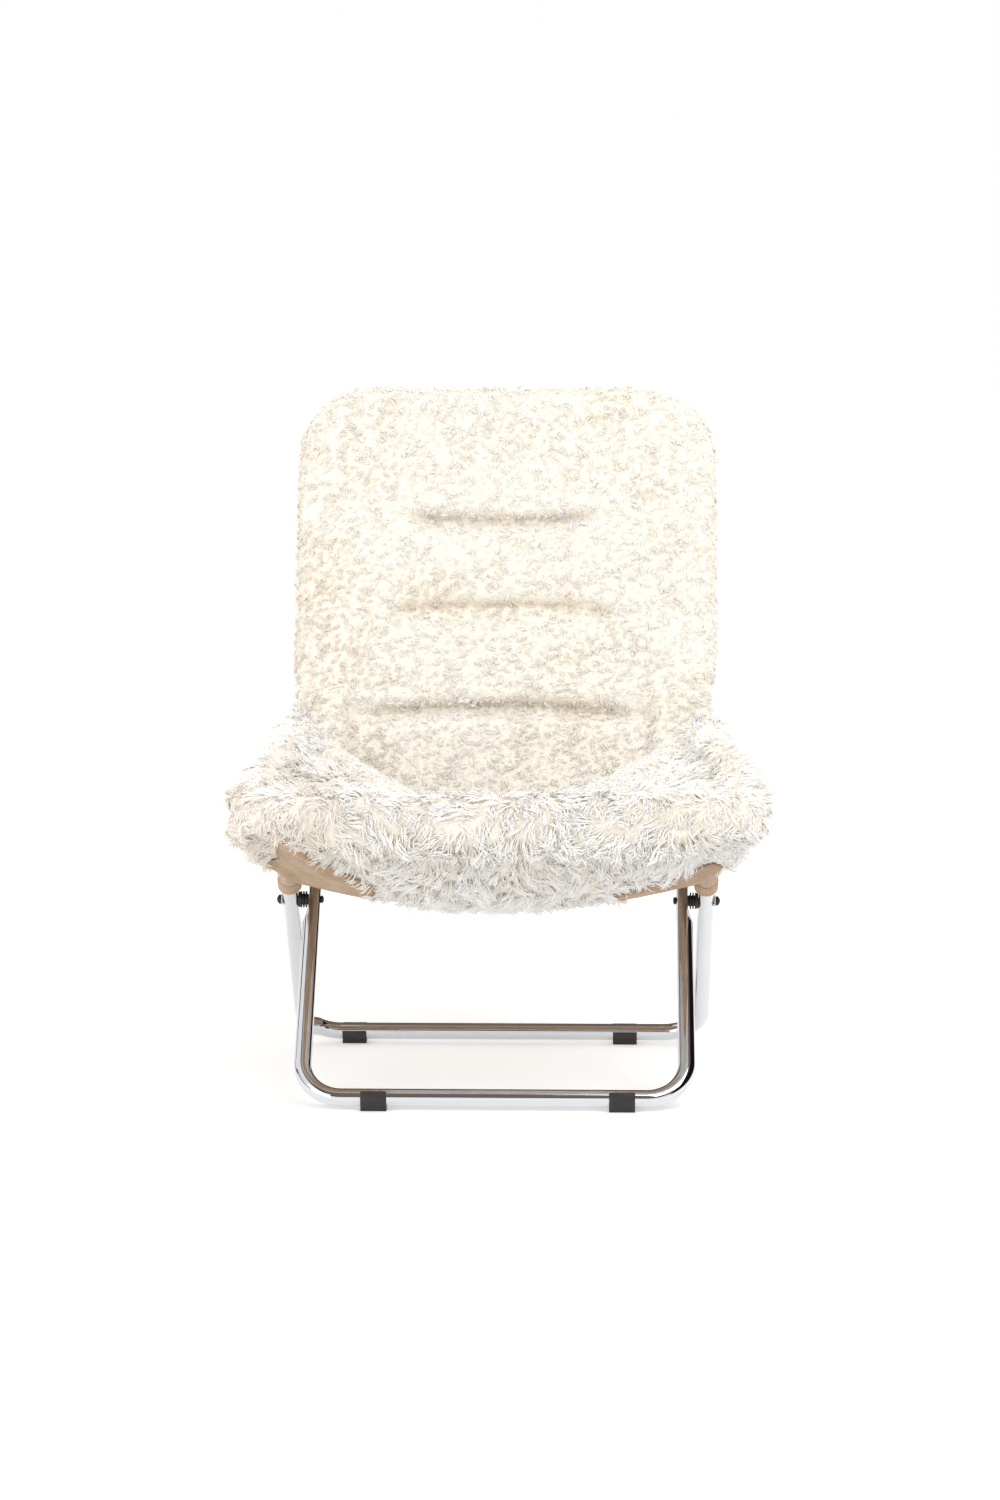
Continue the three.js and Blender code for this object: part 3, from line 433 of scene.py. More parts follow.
def bent_tube(corners, radius, sides=TUBE_SIDES):
    """An open round skin that is spun round its corners. A corner is a point and the radius of its bend."""
    bm = bmesh.new()
    place, direction = corners[0][0].copy(), (corners[1][0] - corners[0][0]).normalized()
    turned_to = Matrix.Translation(place) @ direction.to_track_quat("Z", "X").to_matrix().to_4x4()
    bmesh.ops.create_circle(bm, segments=sides, radius=radius, matrix=turned_to)
    rim = bm.edges[:]
    for i, (corner, bend) in enumerate(corners[1:], 1):
        last = i == len(corners) - 1
        after = direction if last else (corners[i + 1][0] - corner).normalized()
        turn = direction.angle(after) if bend else 0
        stop = corner - direction * (bend * math.tan(turn / 2))
        rim = new_rim(bmesh.ops.extrude_edge_only(bm, edges=rim)["geom"])
        bmesh.ops.translate(bm, verts=list({v for e in rim for v in e.verts}), vec=stop - place)
        place = stop
        if turn > LEAST_TURN:
            axis = direction.cross(after).normalized()
            centre = stop + axis.cross(direction) * bend
            spun = bmesh.ops.spin(
                bm, geom=rim, cent=centre, axis=axis, angle=turn, steps=max(2, math.ceil(turn / BEND_STEP)))
            rim = [part for part in spun["geom_last"] if isinstance(part, bmesh.types.BMEdge)]
            place = corner + after * (bend * math.tan(turn / 2))
        direction = after
    bmesh.ops.recalc_face_normals(bm, faces=bm.faces[:])
    return bm


def at_side(side, half, point):
    return Vector((side * half, point.y, point.z))


up_back = Vector((0, RAIL_SETBACK, PIVOT.z - RAIL_HEIGHT)).normalized()
up_front = Vector((0, -RAIL_SETBACK, PIVOT.z - RAIL_HEIGHT)).normalized()
back_rise = Vector((0, math.sin(BACK_LEAN), math.cos(BACK_LEAN)))
back_knee = PIVOT + up_back * BACK_KNEE_REACH
back_top = back_knee + back_rise * ((BACK_HOOP_HEIGHT - back_knee.z) / back_rise.z)
seat_knee = PIVOT + up_front * SEAT_KNEE_REACH
seat_front = Vector((0, PIVOT.y - SEAT_FRONT_REACH, SEAT_FRONT_HEIGHT))
seat_rise = (seat_front - seat_knee).normalized()
seat_corner = seat_knee + seat_rise * ((PIVOT.y - SEAT_CORNER_REACH - seat_knee.y) / seat_rise.y)


def on_seat_side(side, distance):
    start = at_side(side, OUTER_HALF, seat_knee)
    along = (at_side(side, SEAT_HOOP_HALF, seat_corner) - start).normalized()
    return start + along * distance


def on_back_side(side, distance):
    return at_side(side, INNER_HALF, back_knee + back_rise * distance)


def upright(side, joint, half, knee, rise, rail_y):
    """One side of a floor loop, from its joint down to its rail, with stations where it is pressed flat."""
    marks = (PRESS_HALF + PRESS_RAMP, PRESS_HALF, -PRESS_HALF, -PRESS_HALF - PRESS_RAMP)
    flats = [(at_side(side, half, PIVOT + rise * mark), 0) for mark in marks]
    rail_corner = (Vector((side * half, rail_y, RAIL_HEIGHT)), RAIL_BEND)
    return [(joint, 0), (at_side(side, half, knee), KNEE_BEND), *flats, rail_corner]


def whole_loop(half_of):
    return [*half_of(-1), *reversed(half_of(1))]


def front_leg_half(side):
    joint = on_back_side(side, BACK_JOINT_REACH)
    return upright(side, joint, INNER_HALF, back_knee, up_back, PIVOT.y - RAIL_SETBACK)


def rear_leg_half(side):
    joint = on_seat_side(side, SEAT_JOINT_REACH)
    return upright(side, joint, OUTER_HALF, seat_knee, up_front, PIVOT.y + RAIL_SETBACK)


def back_hoop_half(side):
    joint = on_back_side(side, BACK_JOINT_REACH + JOINT_GAP)
    return [(joint, 0), (at_side(side, INNER_HALF, back_top), BACK_CORNER_BEND)]


seat_hoop_line = [
    (on_seat_side(-1, SEAT_JOINT_REACH + JOINT_GAP), 0),
    (at_side(-1, SEAT_HOOP_HALF, seat_corner), SEAT_CORNER_BEND),
    (seat_front, SEAT_BOW_BEND),
    (at_side(1, SEAT_HOOP_HALF, seat_corner), SEAT_CORNER_BEND),
    (on_seat_side(1, SEAT_JOINT_REACH + JOINT_GAP), 0),
]


def press_flat(bm, half, rise, depth, facing):
    """Presses both uprights flat at the pivot, on the side that meets the other loop."""
    for vert in bm.verts:
        offset = vert.co - at_side(math.copysign(1, vert.co.x), half, PIVOT)
        from_pivot = abs(offset.dot(rise))
        blend = min(1, max(0, (PRESS_HALF + PRESS_RAMP - from_pivot) / PRESS_RAMP))
        across = (abs(vert.co.x) - half) * facing
        across_line = (offset - rise * offset.dot(rise)).length
        most = TUBE_RADIUS - depth * blend
        if across_line < 2 * TUBE_RADIUS and across > most:
            vert.co.x = math.copysign(half + most * facing, vert.co.x)


def tube_piece(name, bm, node, body):
    """Gives a tube its wall and lets it stand for its CAD node."""
    piece = piece_of(name, mesh_from(bm, name), chrome)
    add_wall(piece, TUBE_WALL, -1)
    keep_modifiers(piece)
    piece.data.set_sharp_from_angle(angle=SHARP_ANGLE)
    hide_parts(node)
    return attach(piece, body)


front_leg = bent_tube(whole_loop(front_leg_half), TUBE_RADIUS)
press_flat(front_leg, INNER_HALF, up_back, INNER_PRESS, 1)
tube_piece("front_floor_loop", front_leg, "front_leg_tube", "back_frame")
rear_leg = bent_tube(whole_loop(rear_leg_half), TUBE_RADIUS)
press_flat(rear_leg, OUTER_HALF, up_front, OUTER_PRESS, -1)
tube_piece("rear_floor_loop", rear_leg, "rear_leg_tube", "seat_frame")
tube_piece("back_hoop", bent_tube(whole_loop(back_hoop_half), TUBE_RADIUS), "back_hoop_tube", "back_frame")
tube_piece("seat_hoop", bent_tube(seat_hoop_line, TUBE_RADIUS), "seat_hoop_tube", "seat_frame")


# Small fittings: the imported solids, merged, with their edges eased as moulding and tumbling leave them

def eased_edges(bm, edges, width):
    bmesh.ops.bevel(
        bm, geom=edges, offset=width, offset_type="OFFSET", affect="EDGES", segments=2, profile=0.5,
        material=-1, clamp_overlap=True)


def eased_copy(node, finish, body, width=EDGE_ROUND):
    bm = bmesh.new()
    bm.from_mesh(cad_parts[node].data)
    bmesh.ops.remove_doubles(bm, verts=bm.verts[:], dist=WELD)
    bmesh.ops.dissolve_limit(bm, angle_limit=FLAT_ANGLE, verts=bm.verts[:], edges=bm.edges[:])
    sharp = [edge for edge in bm.edges if edge.is_manifold and edge.calc_face_angle(0) > SHARP_ANGLE]
    eased_edges(bm, sharp, width)
    mesh = mesh_from(bm, node + "_eased")
    mesh.set_sharp_from_angle(angle=SHARP_ANGLE)
    piece = piece_of(node + "_eased", mesh, finish)
    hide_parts(node)
    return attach(piece, body)


def spacer_ribs(side_name):
    """Moulded ribs round a pivot's spacer, which a hand feels as it folds the chair."""
    low, high = (Vector(corner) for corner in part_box(f"pivot_spacer_{side_name}"))
    bm = bmesh.new()
    pitch = (high.x - low.x) / (RIBS + 1)
    radius = (high.z - low.z) / 2 + RIB_PROUD
    for i in range(RIBS):
        place = Matrix.Translation((low.x + pitch * (i + 1), PIVOT.y, PIVOT.z)) @ ALONG_X
        made = bmesh.ops.create_cone(
            bm, cap_ends=True, segments=RIB_SIDES, radius1=radius, radius2=radius, depth=pitch * RIB_SHARE,
            matrix=place)
        touching = {edge for vert in made["verts"] for edge in vert.link_edges}
        rims = {edge for edge in touching if edge.calc_face_angle(0) > SHARP_ANGLE}
        eased_edges(bm, list(rims), pitch * RIB_SHARE / 3)
    name = f"pivot_spacer_ribs_{side_name}"
    piece = piece_of(name, mesh_from(bm, name), black_plastic)
    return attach(piece, "back_frame")


for side_name in SIDES:
    spacer_ribs(side_name)
    eased_copy(f"front_foot_{side_name}", black_plastic, "back_frame")
    eased_copy(f"rear_foot_{side_name}", black_plastic, "seat_frame")
    eased_copy(f"pivot_spacer_{side_name}", black_plastic, "back_frame", EDGE_ROUND / 2)
    eased_copy(f"pivot_washer_{side_name}", pale_nylon, "back_frame", EDGE_ROUND / 4)
    eased_copy(f"pivot_bolt_{side_name}", black_steel, "back_frame", EDGE_ROUND / 2)
    eased_copy(f"pivot_nut_{side_name}", black_steel, "back_frame", EDGE_ROUND / 2)
    for kept in ("back_joint_spigot", "back_joint_screw", "seat_joint_spigot", "seat_joint_screw"):
        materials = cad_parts[f"{kept}_{side_name}"].data.materials
        materials.clear()
        materials.append(zinc)


# Gathering: the cover's pieces, with their placement baked into their meshes


def gathers(piece, roots=None):
    """Bakes a piece's placement into its mesh and reads its points, for each strand those of its root; it
    does not move them."""
    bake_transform(piece)
    places = np.empty(len(piece.data.vertices) * 3)
    piece.data.vertices.foreach_get("co", places)
    if roots is not None:
        places = np.repeat(roots, len(piece.data.vertices) // len(roots), axis=0)
    return piece


# Cover core: the padding of seat, back and wings as one soft form

CREASE_ROLL_PLACE = (0.086, 0.086)
CREASE_ROLL_RADIUS = 0.017
CREASE_ROLL_HALF = 0.218
CORNER_FILL_RADIUS = 0.015
# Each bar's y and z from the pivot line, and how far out it reaches
CORNER_FILLS = (
    (-0.055, 0.084, 0.268), (-0.035, 0.078, 0.268), (-0.012, 0.076, 0.268), (0.010, 0.078, 0.268),
    (0.030, 0.088, 0.268), (0.046, 0.100, 0.270), (0.060, 0.118, 0.274), (0.072, 0.138, 0.278),
    (0.082, 0.160, 0.280), (0.092, 0.182, 0.278), (0.102, 0.204, 0.274), (0.111, 0.226, 0.268),
    (0.119, 0.246, 0.260))
CORNER_FILL_FROM = 0.200
BAR_SIDES = 16
TUNNEL_FILL = 0.0125
TUNNEL_SIDES = 12
BACK_TUNNEL = (0.035, BACK_JOINT_REACH + 0.02)
SEAT_TUNNEL = (0.060, 0.120)
# Points on each side: x from the middle, y from the pivot line and z from the floor
WING_ROLL = ((0.262, 0.100, 0.430), (0.270, -0.050, 0.424), (0.284, -0.180, 0.404), (0.284, -0.290, 0.386))
WING_ROLL_RADIUS = 0.022
CORNER_WEDGE = (
    (0.262, 0.085, 0.405), (0.264, -0.050, 0.396), (0.266, -0.180, 0.380), (0.255, -0.285, 0.370),
    (0.236, 0.080, 0.404), (0.198, -0.045, 0.387), (0.154, -0.180, 0.374), (0.092, -0.280, 0.369),
    (0.165, 0.085, 0.312), (0.105, -0.050, 0.276), (0.062, -0.180, 0.292), (0.022, -0.265, 0.331),
    (0.245, 0.080, 0.345), (0.245, -0.100, 0.345), (0.248, -0.250, 0.362))
WEDGE_ROUND = 0.020


def add_bar(bm, x_from, x_to, y, z, radius):
    """A round bar along X, at a place given from the pivot line."""
    place = Matrix.Translation(((x_from + x_to) / 2, PIVOT.y + y, PIVOT.z + z)) @ ALONG_X
    bmesh.ops.create_cone(
        bm, cap_ends=True, segments=BAR_SIDES, radius1=radius, radius2=radius, depth=abs(x_to - x_from),
        matrix=place)


def add_filled_line(bm, corners, radius=TUNNEL_FILL):
    """A solid round line, such as the one that fills a tube's tunnel through the padding."""
    filled = bent_tube(corners, radius, sides=TUNNEL_SIDES)
    bmesh.ops.holes_fill(filled, edges=[edge for edge in filled.edges if edge.is_boundary], sides=0)
    merge_into(bm, filled)


def add_wedge(bm, side):
    """The padding that fills a side of the seat, sloping from the wing's top to the roll and the hollow."""
    wedge = bmesh.new()
    for x, y, z in CORNER_WEDGE:
        place = Matrix.Translation((side * x, PIVOT.y + y, z))
        bmesh.ops.create_icosphere(wedge, subdivisions=2, radius=WEDGE_ROUND, matrix=place)
    hull = bmesh.ops.convex_hull(wedge, input=wedge.verts[:])
    inner = [part for part in hull["geom_interior"] if isinstance(part, bmesh.types.BMVert)]
    bmesh.ops.delete(wedge, geom=inner, context="VERTS")
    bmesh.ops.recalc_face_normals(wedge, faces=wedge.faces[:])
    merge_into(bm, wedge)


def cover_core():
    bm = bmesh.new()
    for node in ("seat_pad", "back_pad", "seat_wing_left", "seat_wing_right"):
        bm.from_mesh(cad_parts[node].data)
    bmesh.ops.remove_doubles(bm, verts=bm.verts[:], dist=WELD)
    add_bar(bm, -CREASE_ROLL_HALF, CREASE_ROLL_HALF, *CREASE_ROLL_PLACE, CREASE_ROLL_RADIUS)
    for side in SIDES.values():
        for y, z, reach in CORNER_FILLS:
            add_bar(bm, side * CORNER_FILL_FROM, side * reach, y, z, CORNER_FILL_RADIUS)
        roll = [(Vector((side * x, PIVOT.y + y, z)), 0) for x, y, z in WING_ROLL]
        add_filled_line(bm, roll, WING_ROLL_RADIUS)
        add_wedge(bm, side)
        add_filled_line(bm, [(on_back_side(side, reach), 0) for reach in BACK_TUNNEL])
        add_filled_line(bm, [(on_seat_side(side, reach), 0) for reach in SEAT_TUNNEL])
    add_filled_line(bm, whole_loop(back_hoop_half))
    add_filled_line(bm, seat_hoop_line)
    core = piece_of("fur_cover_padding", mesh_from(bm, "fur_cover_padding"), wool)
    remesh = core.modifiers.new("one_skin", "REMESH")
    remesh.mode = "VOXEL"
    remesh.voxel_size = CORE_VOXEL
    remesh.use_smooth_shade = True
    relax = core.modifiers.new("relaxed", "SMOOTH")
    relax.factor = 0.5
    relax.iterations = CORE_SMOOTHING
    keep_modifiers(core)
    return core


core = cover_core()


# Where the cover shows fur and where it shows suede, and how the padding sinks under the fur

# Edge of the fur: heights from the floor, reaches back from the pivot line, and halves from the middle
FUR_FACING = -0.2
FUR_RISE = 0.2
FUR_FLOOR = 0.335
SEAT_TOP = 0.46
SEAT_REAR = 0.09
ROLL_REAR = -0.270
WING_INNER = 0.245
BACK_FRONT = 0.06
BELLY_REAR = -0.055
BELLY_EDGE_PLACES = (-0.268, -0.255, -0.228, -0.171, -0.150, 0.150, 0.185, 0.210, 0.240, 0.268)
BELLY_EDGE_HEIGHTS = (0.290, 0.340, 0.328, 0.299, 0.283, 0.262, 0.278, 0.284, 0.288, 0.286)
BELLY_MIDDLE = BELLY_EDGE_PLACES[5]
WING_EDGE_REACHES = (-0.310, -0.100, -0.050, 0.050, 0.120)
WING_EDGE_HEIGHTS = (0.350, 0.300, 0.330, 0.395, 0.420)
PANEL_HALF = 0.205
PANEL_TOP = 0.790
PANEL_CORNER = 0.045
PANEL_FOOT = 0.430

# Combed pile, each pair from where it starts to where it is full
COMBED_FRONT = (0.185, 0.235)
COMBED_INNER = 0.240
COMBED_SLANT = 0.45
COMBED_SLANT_FROM = 0.03
COMBED_SLANT_REACH = 0.25
COMBED_EDGE = (-0.012, 0.013)
COMBED_WING_TOP = (0.43, 0.50)
COMBED_UNDER = (0.05, 0.35)
COMBED_UNDER_TOP = (0.38, 0.42)

# Channels, puffed panels, crease, swells and lifted corners, in the same way
CHANNEL_FADE = (0.8, 1.1)
CHANNEL_FACING = (0.0, 0.3)
CHANNEL_REACH = (0.02, 0.06)
BACK_REACH = (0.06, 0.10)
BACK_HEIGHT = (0.40, 0.46)
BACK_FACING = (0.1, 0.5)
PUFF_HALF = (0.10, 0.23)
PUFF_TOP = (0.74, 0.79)
CREASE_REACH = (0.20, 0.25)
SWELL_HALF = (0.20, 0.25)
TIP_REACH = (0.02, 0.12)
TIP_FLOOR = (0.335, 0.365)
TIP_TOP = (0.42, 0.46)
BACK_SWELL_FOOT = (0.44, 0.52)
TOP_SWELL_FOOT = (0.78, 0.85)
LIFT_HALF = (0.20, 0.29)
LIFT_REACH = (0.08, 0.16)
LIFT_TOP = (0.335, 0.375)


def smooth_share(low, high, values):
    """0 up to the low value and 1 from the high value, with a smooth rise between."""
    share = np.clip((values - low) / (high - low), 0, 1)
    return share * share * (3 - 2 * share)


def skin_of(mesh):
    """A mesh's points and its normals there."""
    points, normals = np.empty(len(mesh.vertices) * 3), np.empty(len(mesh.vertices) * 3)
    mesh.vertices.foreach_get("co", points)
    mesh.vertex_normals.foreach_get("vector", normals)
    return points.reshape(-1, 3), normals.reshape(-1, 3)


def measured(points):
    """How far each point is from the middle plane, how far behind the pivot line, and how high."""
    return np.abs(points[:, 0]), points[:, 1] - PIVOT.y, points[:, 2]


def facing_focus(points, normals):
    """How squarely each point faces the middle of the sitter, from -1 to 1."""
    inward = np.array(FOCUS) - points
    inward /= np.linalg.norm(inward, axis=1)[:, None]
    return (inward * normals).sum(axis=1)


def fur_mask(points, normals):
    """Where fur covers the padding: the whole inside, round both hoops, and a belly under the front."""
    half, y, z = measured(points)
    inside = (facing_focus(points, normals) > FUR_FACING) & ((z > FUR_FLOOR) | (normals[:, 2] > FUR_RISE))
    on_seat = (z < SEAT_TOP) & (y < SEAT_REAR)
    edge = np.where(half < BELLY_MIDDLE, 0, np.interp(points[:, 0], BELLY_EDGE_PLACES, BELLY_EDGE_HEIGHTS))
    belly = on_seat & (y < BELLY_REAR) & (z > edge)
    roll = on_seat & (y < ROLL_REAR) & (z > FUR_FLOOR)
    wing = on_seat & (half > WING_INNER) & (z > np.interp(y, WING_EDGE_REACHES, WING_EDGE_HEIGHTS))
    past_side = np.maximum(half - PANEL_HALF + PANEL_CORNER, 0)
    past_top = np.maximum(z - PANEL_TOP + PANEL_CORNER, 0)
    round_hoop = (np.hypot(past_side, past_top) > PANEL_CORNER) & (z > PANEL_FOOT) & (y > BACK_FRONT)
    return inside | belly | roll | wing | round_hoop


def combed_share(points, normals):
    """1 where the pile is long and combed, as on roll, wings and belly, and 0 where it is curly."""
    half, y, z = measured(points)
    front = smooth_share(*COMBED_FRONT, -y)
    inner = COMBED_INNER - COMBED_SLANT * np.clip(COMBED_SLANT_FROM - y, 0, COMBED_SLANT_REACH)
    wing = smooth_share(inner + COMBED_EDGE[0], inner + COMBED_EDGE[1], half)
    wing *= 1 - smooth_share(*COMBED_WING_TOP, z)
    under = smooth_share(*COMBED_UNDER, -normals[:, 2]) * (1 - smooth_share(*COMBED_UNDER_TOP, z))
    return np.maximum(front, np.maximum(wing, under))


def channel_share(points, normals):
    """How near each point is to one of the back's three sewn channels, from 0 to 1."""
    half, y, z = measured(points)
    share = np.zeros(len(points))
    for height, length, bow in CHANNELS:
        middle = height + bow * np.maximum(0, 1 - (half / length) ** 2)
        fade = 1 - smooth_share(CHANNEL_FADE[0] * length, CHANNEL_FADE[1] * length, half)
        share = np.maximum(share, fade * np.exp(-(((z - middle) / CHANNEL_WIDTH) ** 2)))
    share *= smooth_share(*CHANNEL_FACING, facing_focus(points, normals))
    return share * smooth_share(*CHANNEL_REACH, y)


def padding_depth(points, normals, furry):
    """How far the padding sinks below the cover's surface: under the fur, in the channels and in the crease,
    less what its panels are puffed."""
    combed, channel = combed_share(points, normals), channel_share(points, normals)
    half, y, z = measured(points)
    on_back = smooth_share(*BACK_REACH, y) * smooth_share(*BACK_HEIGHT, z)
    on_back *= smooth_share(*BACK_FACING, facing_focus(points, normals))
    puff = PUFF * on_back * (1 - channel) * (1 - smooth_share(*PUFF_HALF, half))
    puff *= 1 - smooth_share(*PUFF_TOP, z)
    crease = np.exp(-(((z - CREASE_HEIGHT) / CREASE_WIDTH) ** 2)) * smooth_share(*CREASE_REACH, -y)
    inset = CURLY_INSET + (COMBED_INSET - CURLY_INSET) * combed + CREASE_DEPTH * crease
    return furry * inset + CHANNEL_DEPTH * channel - puff


def side_swell(points):
    """How far the cover stands out past its padding at the back's sides and at the seat's front tips."""
    half, y, z = measured(points)
    on_right, outer = points[:, 0] > 0, smooth_share(*SWELL_HALF, half)
    at_tip = outer * smooth_share(*TIP_REACH, -y) * smooth_share(*TIP_FLOOR, z)
    back = np.where(on_right, BACK_SIDE_SWELLS[1], BACK_SIDE_SWELLS[0])
    tips = np.where(on_right, SEAT_TIP_SWELLS[1], SEAT_TIP_SWELLS[0])
    return back * outer * smooth_share(*BACK_SWELL_FOOT, z) + tips * at_tip * (1 - smooth_share(*TIP_TOP, z))


def corner_lift(points, places):
    """How far the underside of the seat's front corners is drawn up, short of the tube."""
    half, y, z = measured(points)
    most = CORNER_LIFT * smooth_share(*LIFT_HALF, half) * smooth_share(*LIFT_REACH, -y)
    most *= 1 - smooth_share(*LIFT_TOP, z)
    along_tube = (PIVOT.y + y - seat_knee.y) / (seat_corner.y - seat_knee.y)
    under_tube = seat_knee.z + (seat_corner.z - seat_knee.z) * along_tube - TUBE_RADIUS - TUBE_COVER
    return np.clip(under_tube - places[:, 2], 0, most)


def sink_under_fur(mesh):
    """Gives the padding its sewn and gathered form, and says which of its points carry fur."""
    points, normals = skin_of(mesh)
    furry = fur_mask(points, normals)
    places = points - normals * padding_depth(points, normals, furry)[:, None]
    places[:, 0] += np.sign(points[:, 0]) * side_swell(points)
    places[:, 2] += TOP_SWELL * smooth_share(*TOP_SWELL_FOOT, points[:, 2])
    places[:, 2] += corner_lift(points, places)
    mesh.vertices.foreach_set("co", places.reshape(-1).astype(np.float32))
    mesh.update()
    return furry


furry = sink_under_fur(core.data)


# Fur: strands in tufts. Each tuft has one lie and one curl, and its strands draw together towards its tip

def strand_form(stations):
    """A closed strand, one unit long: its points, its faces, and how far round each face's corners lie."""
    bm = bmesh.new()
    bmesh.ops.create_circle(bm, cap_ends=True, segments=STRAND_SIDES, radius=1)
    rim = bm.edges[:]
    for low, high in zip(stations, stations[1:]):
        rim = new_rim(bmesh.ops.extrude_edge_only(bm, edges=rim)["geom"])
        bmesh.ops.translate(bm, verts=list({v for e in rim for v in e.verts}), vec=(0, 0, high - low))
    bmesh.ops.pointmerge(bm, verts=list({v for e in rim for v in e.verts}), merge_co=(0, 0, 1))
    bmesh.ops.recalc_face_normals(bm, faces=bm.faces[:])
    bm.verts.index_update()
    places = np.array([v.co for v in bm.verts])
    faces = [[v.index for v in face.verts] for face in bm.faces]
    round_shares = []
    for face in bm.faces:
        centre = face.calc_center_median()
        middle = math.atan2(centre.y, centre.x)
        for vert in face.verts:
            angle = math.atan2(vert.co.y, vert.co.x) if vert.co.xy.length > 0.5 else middle
            offset = (angle - middle + math.pi) % (2 * math.pi) - math.pi
            round_shares.append((middle + offset) / (2 * math.pi) + 0.5)
    bm.free()
    return places, faces, np.array(round_shares)


def scattered(mesh, furry, kind, count, chance):
    """Random places, even by area, on furry faces whose corners are mostly of a kind, and their normals."""
    points, normals = skin_of(mesh)
    mesh.calc_loop_triangles()
    corners = np.empty(len(mesh.loop_triangles) * 3, np.int32)
    mesh.loop_triangles.foreach_get("vertices", corners)
    corners = corners.reshape(-1, 3)
    corners = corners[furry[corners].all(axis=1) & (kind[corners].sum(axis=1) > 1)]
    a, b, c = points[corners[:, 0]], points[corners[:, 1]], points[corners[:, 2]]
    areas = np.linalg.norm(np.cross(b - a, c - a), axis=1)
    chosen = chance.choice(len(corners), count, p=areas / areas.sum())
    root, other = np.sqrt(chance.random(count)), chance.random(count)
    shares = np.stack([1 - root, root * (1 - other), root * other], axis=1)[:, :, None]
    places = (points[corners[chosen]] * shares).sum(axis=1)
    outward = (normals[corners[chosen]] * shares).sum(axis=1)
    return places, outward / np.linalg.norm(outward, axis=1)[:, None]


def spread_out(places, reaches):
    """Picks places that keep their reach from one another."""
    size = float(reaches.max())
    cells, kept = {}, []
    around = [(i, j, k) for i in (-1, 0, 1) for j in (-1, 0, 1) for k in (-1, 0, 1)]
    for index, (place, reach) in enumerate(zip(places.tolist(), reaches.tolist())):
        cell = tuple(int(value // size) for value in place)
        near = (cells.get((cell[0] + i, cell[1] + j, cell[2] + k), ()) for i, j, k in around)
        if all(math.dist(place, other) >= reach for others in near for other in others):
            cells.setdefault(cell, []).append(place)
            kept.append(index)
    return np.array(kept)


def nearest(places, targets):
    tree = KDTree(len(targets))
    for index, target in enumerate(targets):
        tree.insert(target, index)
    tree.balance()
    return np.array([tree.find(place)[1] for place in places])


def in_skin(vectors, normals):
    """Vectors laid flat against the skin, one unit long."""
    flat = vectors - normals * (vectors * normals).sum(axis=1)[:, None]
    return flat / np.maximum(np.linalg.norm(flat, axis=1), 1e-9)[:, None]


def turned(flat, normals, angle):
    return flat * np.cos(angle)[:, None] + np.cross(normals, flat) * np.sin(angle)[:, None]


def mix(low, high, share):
    return low + (high - low) * share


def tuft_forms(roots, normals, chance):
    """Each tuft's lie on the skin, its length, its tilt at the start and the end, and the phase of its wave.
    Locks lie down and away from the seat's middle in slow swirls, and curls lie any way round."""
    count = len(roots)
    combed, channel = combed_share(roots, normals), channel_share(roots, normals)
    away = in_skin(roots - np.array(FOCUS) - np.array([0, 0, ABOVE_FOCUS]), normals)
    swirl = np.array([noise.noise(Vector(place) * SWIRL_SCALE) for place in roots])
    curl_spin = chance.uniform(-math.pi, math.pi, count)
    lock_spin = SWIRL_TURN * swirl + chance.uniform(-LOCK_WANDER, LOCK_WANDER, count)
    lie = turned(away, normals, mix(curl_spin, lock_spin, combed))
    wing = smooth_share(*WING_HALF, np.abs(roots[:, 0]))
    length = mix(CURL_LENGTH, LOCK_LENGTH - WING_SHORTER * wing, combed) * (1 - CHANNEL_SHORTER * channel)
    length *= chance.uniform(*TUFT_LENGTHS, count)
    start = np.radians(mix(chance.uniform(*CURL_STARTS, count), chance.uniform(*LOCK_STARTS, count), combed))
    end = np.radians(mix(chance.uniform(*CURL_ENDS, count), chance.uniform(*LOCK_ENDS, count), combed))
    return lie, length, start, end, chance.uniform(0, 2 * math.pi, count), combed


def strand_lines(roots, normals, stations, chance):
    """The middle line of every strand, its heading at each station, and a direction across it."""
    tufts = spread_out(roots, mix(*TUFT_REACHES, combed_share(roots, normals)))
    count, own = len(roots), nearest(roots, roots[tufts])
    forms = [form[own] for form in tuft_forms(roots[tufts], normals[tufts], chance)]
    tuft_lie, tuft_length, tuft_start, tuft_end, tuft_phase, combed = forms

    lie = turned(in_skin(tuft_lie, normals), normals, chance.normal(0, LIE_SPREAD, count))
    length = tuft_length * chance.uniform(*STRAND_LENGTHS, count)
    start = tuft_start + chance.normal(0, START_SPREAD, count)
    end = tuft_end + chance.normal(0, END_SPREAD, count)
    bends = start[:, None] + (end - start)[:, None] * stations[None, :] ** BEND_POWER
    heading = np.cos(bends)[..., None] * normals[:, None, :] + np.sin(bends)[..., None] * lie[:, None, :]
    steps = np.diff(stations)[None, :, None] * (heading[:, 1:] + heading[:, :-1]) / 2
    line = np.concatenate([np.zeros((count, 1, 3)), np.cumsum(steps, axis=1)], axis=1)
    line *= length[:, None, None]

    drawn_in = chance.uniform(*DRAWN_IN, count) * mix(1, LOCK_DRAWN_SHARE, combed)
    to_tuft = (roots[tufts][own] - roots)[:, None, :]
    line += to_tuft * (drawn_in[:, None] * stations[None, :] ** DRAWN_POWER)[..., None]
    side = np.cross(normals, lie)
    phase = tuft_phase[:, None] + chance.normal(0, PHASE_SPREAD, count)[:, None]
    wave = np.sin(phase + stations[None, :] * 2 * math.pi * WAVES_A_STRAND)
    sway = mix(CURL_SWAY, LOCK_SWAY, combed)[:, None] * wave * stations[None, :]
    line += sway[..., None] * side[:, None, :] + (roots - normals * ROOT_DEPTH)[:, None, :]
    return line, heading, side


